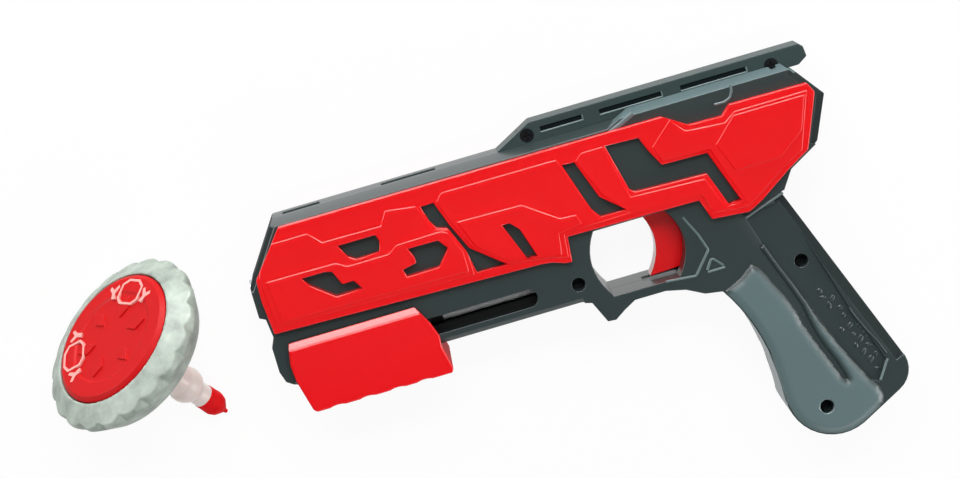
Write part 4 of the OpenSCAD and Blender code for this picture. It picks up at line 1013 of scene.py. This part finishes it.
class LAUNCHER_OT_grip(bpy.types.Operator):
    """Make the swelling cheeks, the raised lines of grip, guard and shoulders, and the grip's bumps"""
    bl_idname = "launcher.grip"
    bl_label = "Grip relief"

    def execute(self, context):
        size = context.scene.launcher_sizes
        line = {"Height": size.line_h * 2, "Corner": size.line_w}
        bumps = {"Width": size.bump_w, "Height": size.line_h * 2.6, "Spacing": size.bump_w, "Seed": 7}
        for side, sign in SIDES:
            pad(f"{side}_grip_cheek", "body", CHEEK_SHEEN_SLATE, CHEEK, SHELL_FACE, size.cheek_rise / MM,
                size.cheek_edge / MM, sign, CHEEK_HOLE, CHEEK_BOLD)
            # The raised lines, all but the panel's ridge, take the paler slate: a painted highlight along
            # them
            for what, paths, wide, finish in (("grip_lines", GRIP_LINES, 1, PAINTED_SHEEN_SLATE),
                                              ("shoulder_lines", SHOULDER_LINES, 1, PAINTED_SHEEN_SLATE),
                                              ("shoulder_foot", SHOULDER_FOOT, 2, PAINTED_SHEEN_SLATE),
                                              ("guard_lines", GUARD_LINES, 1, PAINTED_SHEEN_SLATE),
                                              ("panel_ridge", PANEL_RIDGE, 1, SHELL_SLATE)):
                grown(f"{side}_{what}", paths_mesh(paths, sign * SHELL_FACE), raised_lines(),
                      {**line, "Width": size.line_w * wide}, "body", finish)
            grown(f"{side}_grip_bumps", panel_mesh(BUMPY, sign * PANEL_FLOOR), scattered_bumps(), bumps,
                  "body", SHELL_SLATE)
        return {"FINISHED"}


class LAUNCHER_OT_pump(bpy.types.Operator):
    """Make the pump grip and the trigger"""
    bl_idname = "launcher.pump"
    bl_label = "Pump and trigger"

    def execute(self, context):
        size = context.scene.launcher_sizes
        _, high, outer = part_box("pump_left")[1]

        def brow_share(edge):
            """The whole radius along the brow and less of it elsewhere."""
            brow = all(v.co.y > high - BROW[0] * MM and abs(v.co.z) > outer - BROW[1] * MM
                       for v in edge.verts)
            return 1.0 if brow else size.pump_edge / size.pump_brow

        for side, _ in SIDES:
            pump_finishes(moulding(f"pump_{side}_moulding", f"pump_{side}", "pump", size.pump_brow, PUMP_RED,
                                   "pump_red", segments=4, share=brow_share))
        moulding("trigger_moulding", "trigger", "trigger", size.trigger_edge, PUMP_RED, "pump_red",
                 segments=3)
        return {"FINISHED"}


class LAUNCHER_OT_mechanism(bpy.types.Operator):
    """Give the gears, shafts, springs and screws their metals and plastics"""
    bl_idname = "launcher.mechanism"
    bl_label = "Mechanism"

    def execute(self, context):
        plain = {
            # The guide rod's near-white steel is a painted sheen
            "Steel, painted white sheen": ("guide_rod",),
            "Steel, zinc plated": ("wheel_axle", "crown_axle", "trigger_pin", "return_spring",
                                   "trigger_spring", "pump_screws", "spindle_ring", "ejector_rod",
                                   "top_weight", "top_screws"),
            "Steel, black oxide": ("shell_screws", "rail_screws"),
            "Bronze, sintered": ("front_bush", "rear_bush", "spindle_pinion"),
            "Nylon, black": ("carriage_rack", "spindle"),
            "Acetal, natural": ("drive_wheel", "crown_wheel"),
        }
        for finish, nodes in plain.items():
            for node in nodes:
                paint(frame["nodes"][node], finish)
        return {"FINISHED"}


class LAUNCHER_OT_top(bpy.types.Operator):
    """Make the spinning top that lies beside the nose"""
    bl_idname = "launcher.top"
    bl_label = "Spinning top"

    def execute(self, context):
        size = context.scene.launcher_sizes
        stand_in("top_ring_moulding", softened(frame["nodes"]["top_ring"].data, size.ring_cell), "top_ring",
                 "top", "Polystyrene with silver flake")
        for what, finish, slot in (("top_cap", "Red ABS, top face", "cover_red"),
                                   ("top_stem", "Milky polypropylene", "milky"),
                                   ("top_tip", MATT_RED, "pump_red")):
            moulding(f"{what}_moulding", what, "top", size.tip_edge, finish, slot)
        bore, outer, lap, slant = (v * MM for v in (COLLAR_BORE, TIP_RADIUS, COLLAR_LAP, COLLAR_CHAMFER))
        low = TIP_LENGTH * MM
        high = low + size.collar
        turned("top_tip_collar", "top", MATT_RED,
               ((bore, low - lap), (outer, low - lap), (outer, high - slant), (outer - slant, high),
                (bore, high)))
        new_piece("top_marks", face_marks(), "top", "Pale pink inlay")
        return {"FINISHED"}


class LAUNCHER_OT_stage(bpy.types.Operator):
    """Set up the floor, the room's light, the camera and the lamps"""
    bl_idname = "launcher.stage"
    bl_label = "Stage"

    def execute(self, context):
        scene = context.scene
        studio_floor(scene.launcher_colours.floor)
        studio_room()
        axes = picture_axes(scene.launcher_sizes)
        studio_camera(scene.launcher_sizes, *axes)
        studio_lamps(*axes)
        scene.view_settings.view_transform = "Standard"
        return {"FINISHED"}


class LAUNCHER_PT_panel(bpy.types.Panel):
    bl_label = "Spinning top launcher"
    bl_idname = "LAUNCHER_PT_panel"
    bl_space_type = "VIEW_3D"
    bl_region_type = "UI"
    bl_category = "Launcher"

    def draw(self, context):
        for group in (context.scene.launcher_sizes, context.scene.launcher_colours):
            box = self.layout.box()
            for key in group.bl_rna.properties.keys():
                if key not in ("rna_type", "name"):
                    box.prop(group, key)
        for step in STEPS:
            self.layout.operator(step.bl_idname)


STEPS = (LAUNCHER_OT_covers, LAUNCHER_OT_shells, LAUNCHER_OT_grip, LAUNCHER_OT_pump, LAUNCHER_OT_mechanism,
         LAUNCHER_OT_top, LAUNCHER_OT_stage)
CLASSES = (LauncherColours, LauncherSizes, *STEPS, LAUNCHER_PT_panel)


def register():
    for item in CLASSES:
        bpy.utils.register_class(item)
    bpy.types.Scene.launcher_colours = bpy.props.PointerProperty(type=LauncherColours)
    bpy.types.Scene.launcher_sizes = bpy.props.PointerProperty(type=LauncherSizes)


def unregister():
    del bpy.types.Scene.launcher_sizes
    del bpy.types.Scene.launcher_colours
    for item in reversed(CLASSES):
        bpy.utils.unregister_class(item)


def main():
    register()
    bpy.ops.launcher.covers()
    bpy.ops.launcher.shells()
    bpy.ops.launcher.grip()
    bpy.ops.launcher.pump()
    bpy.ops.launcher.mechanism()
    bpy.ops.launcher.top()
    bpy.ops.launcher.stage()


if __name__ == "__main__":
    main()
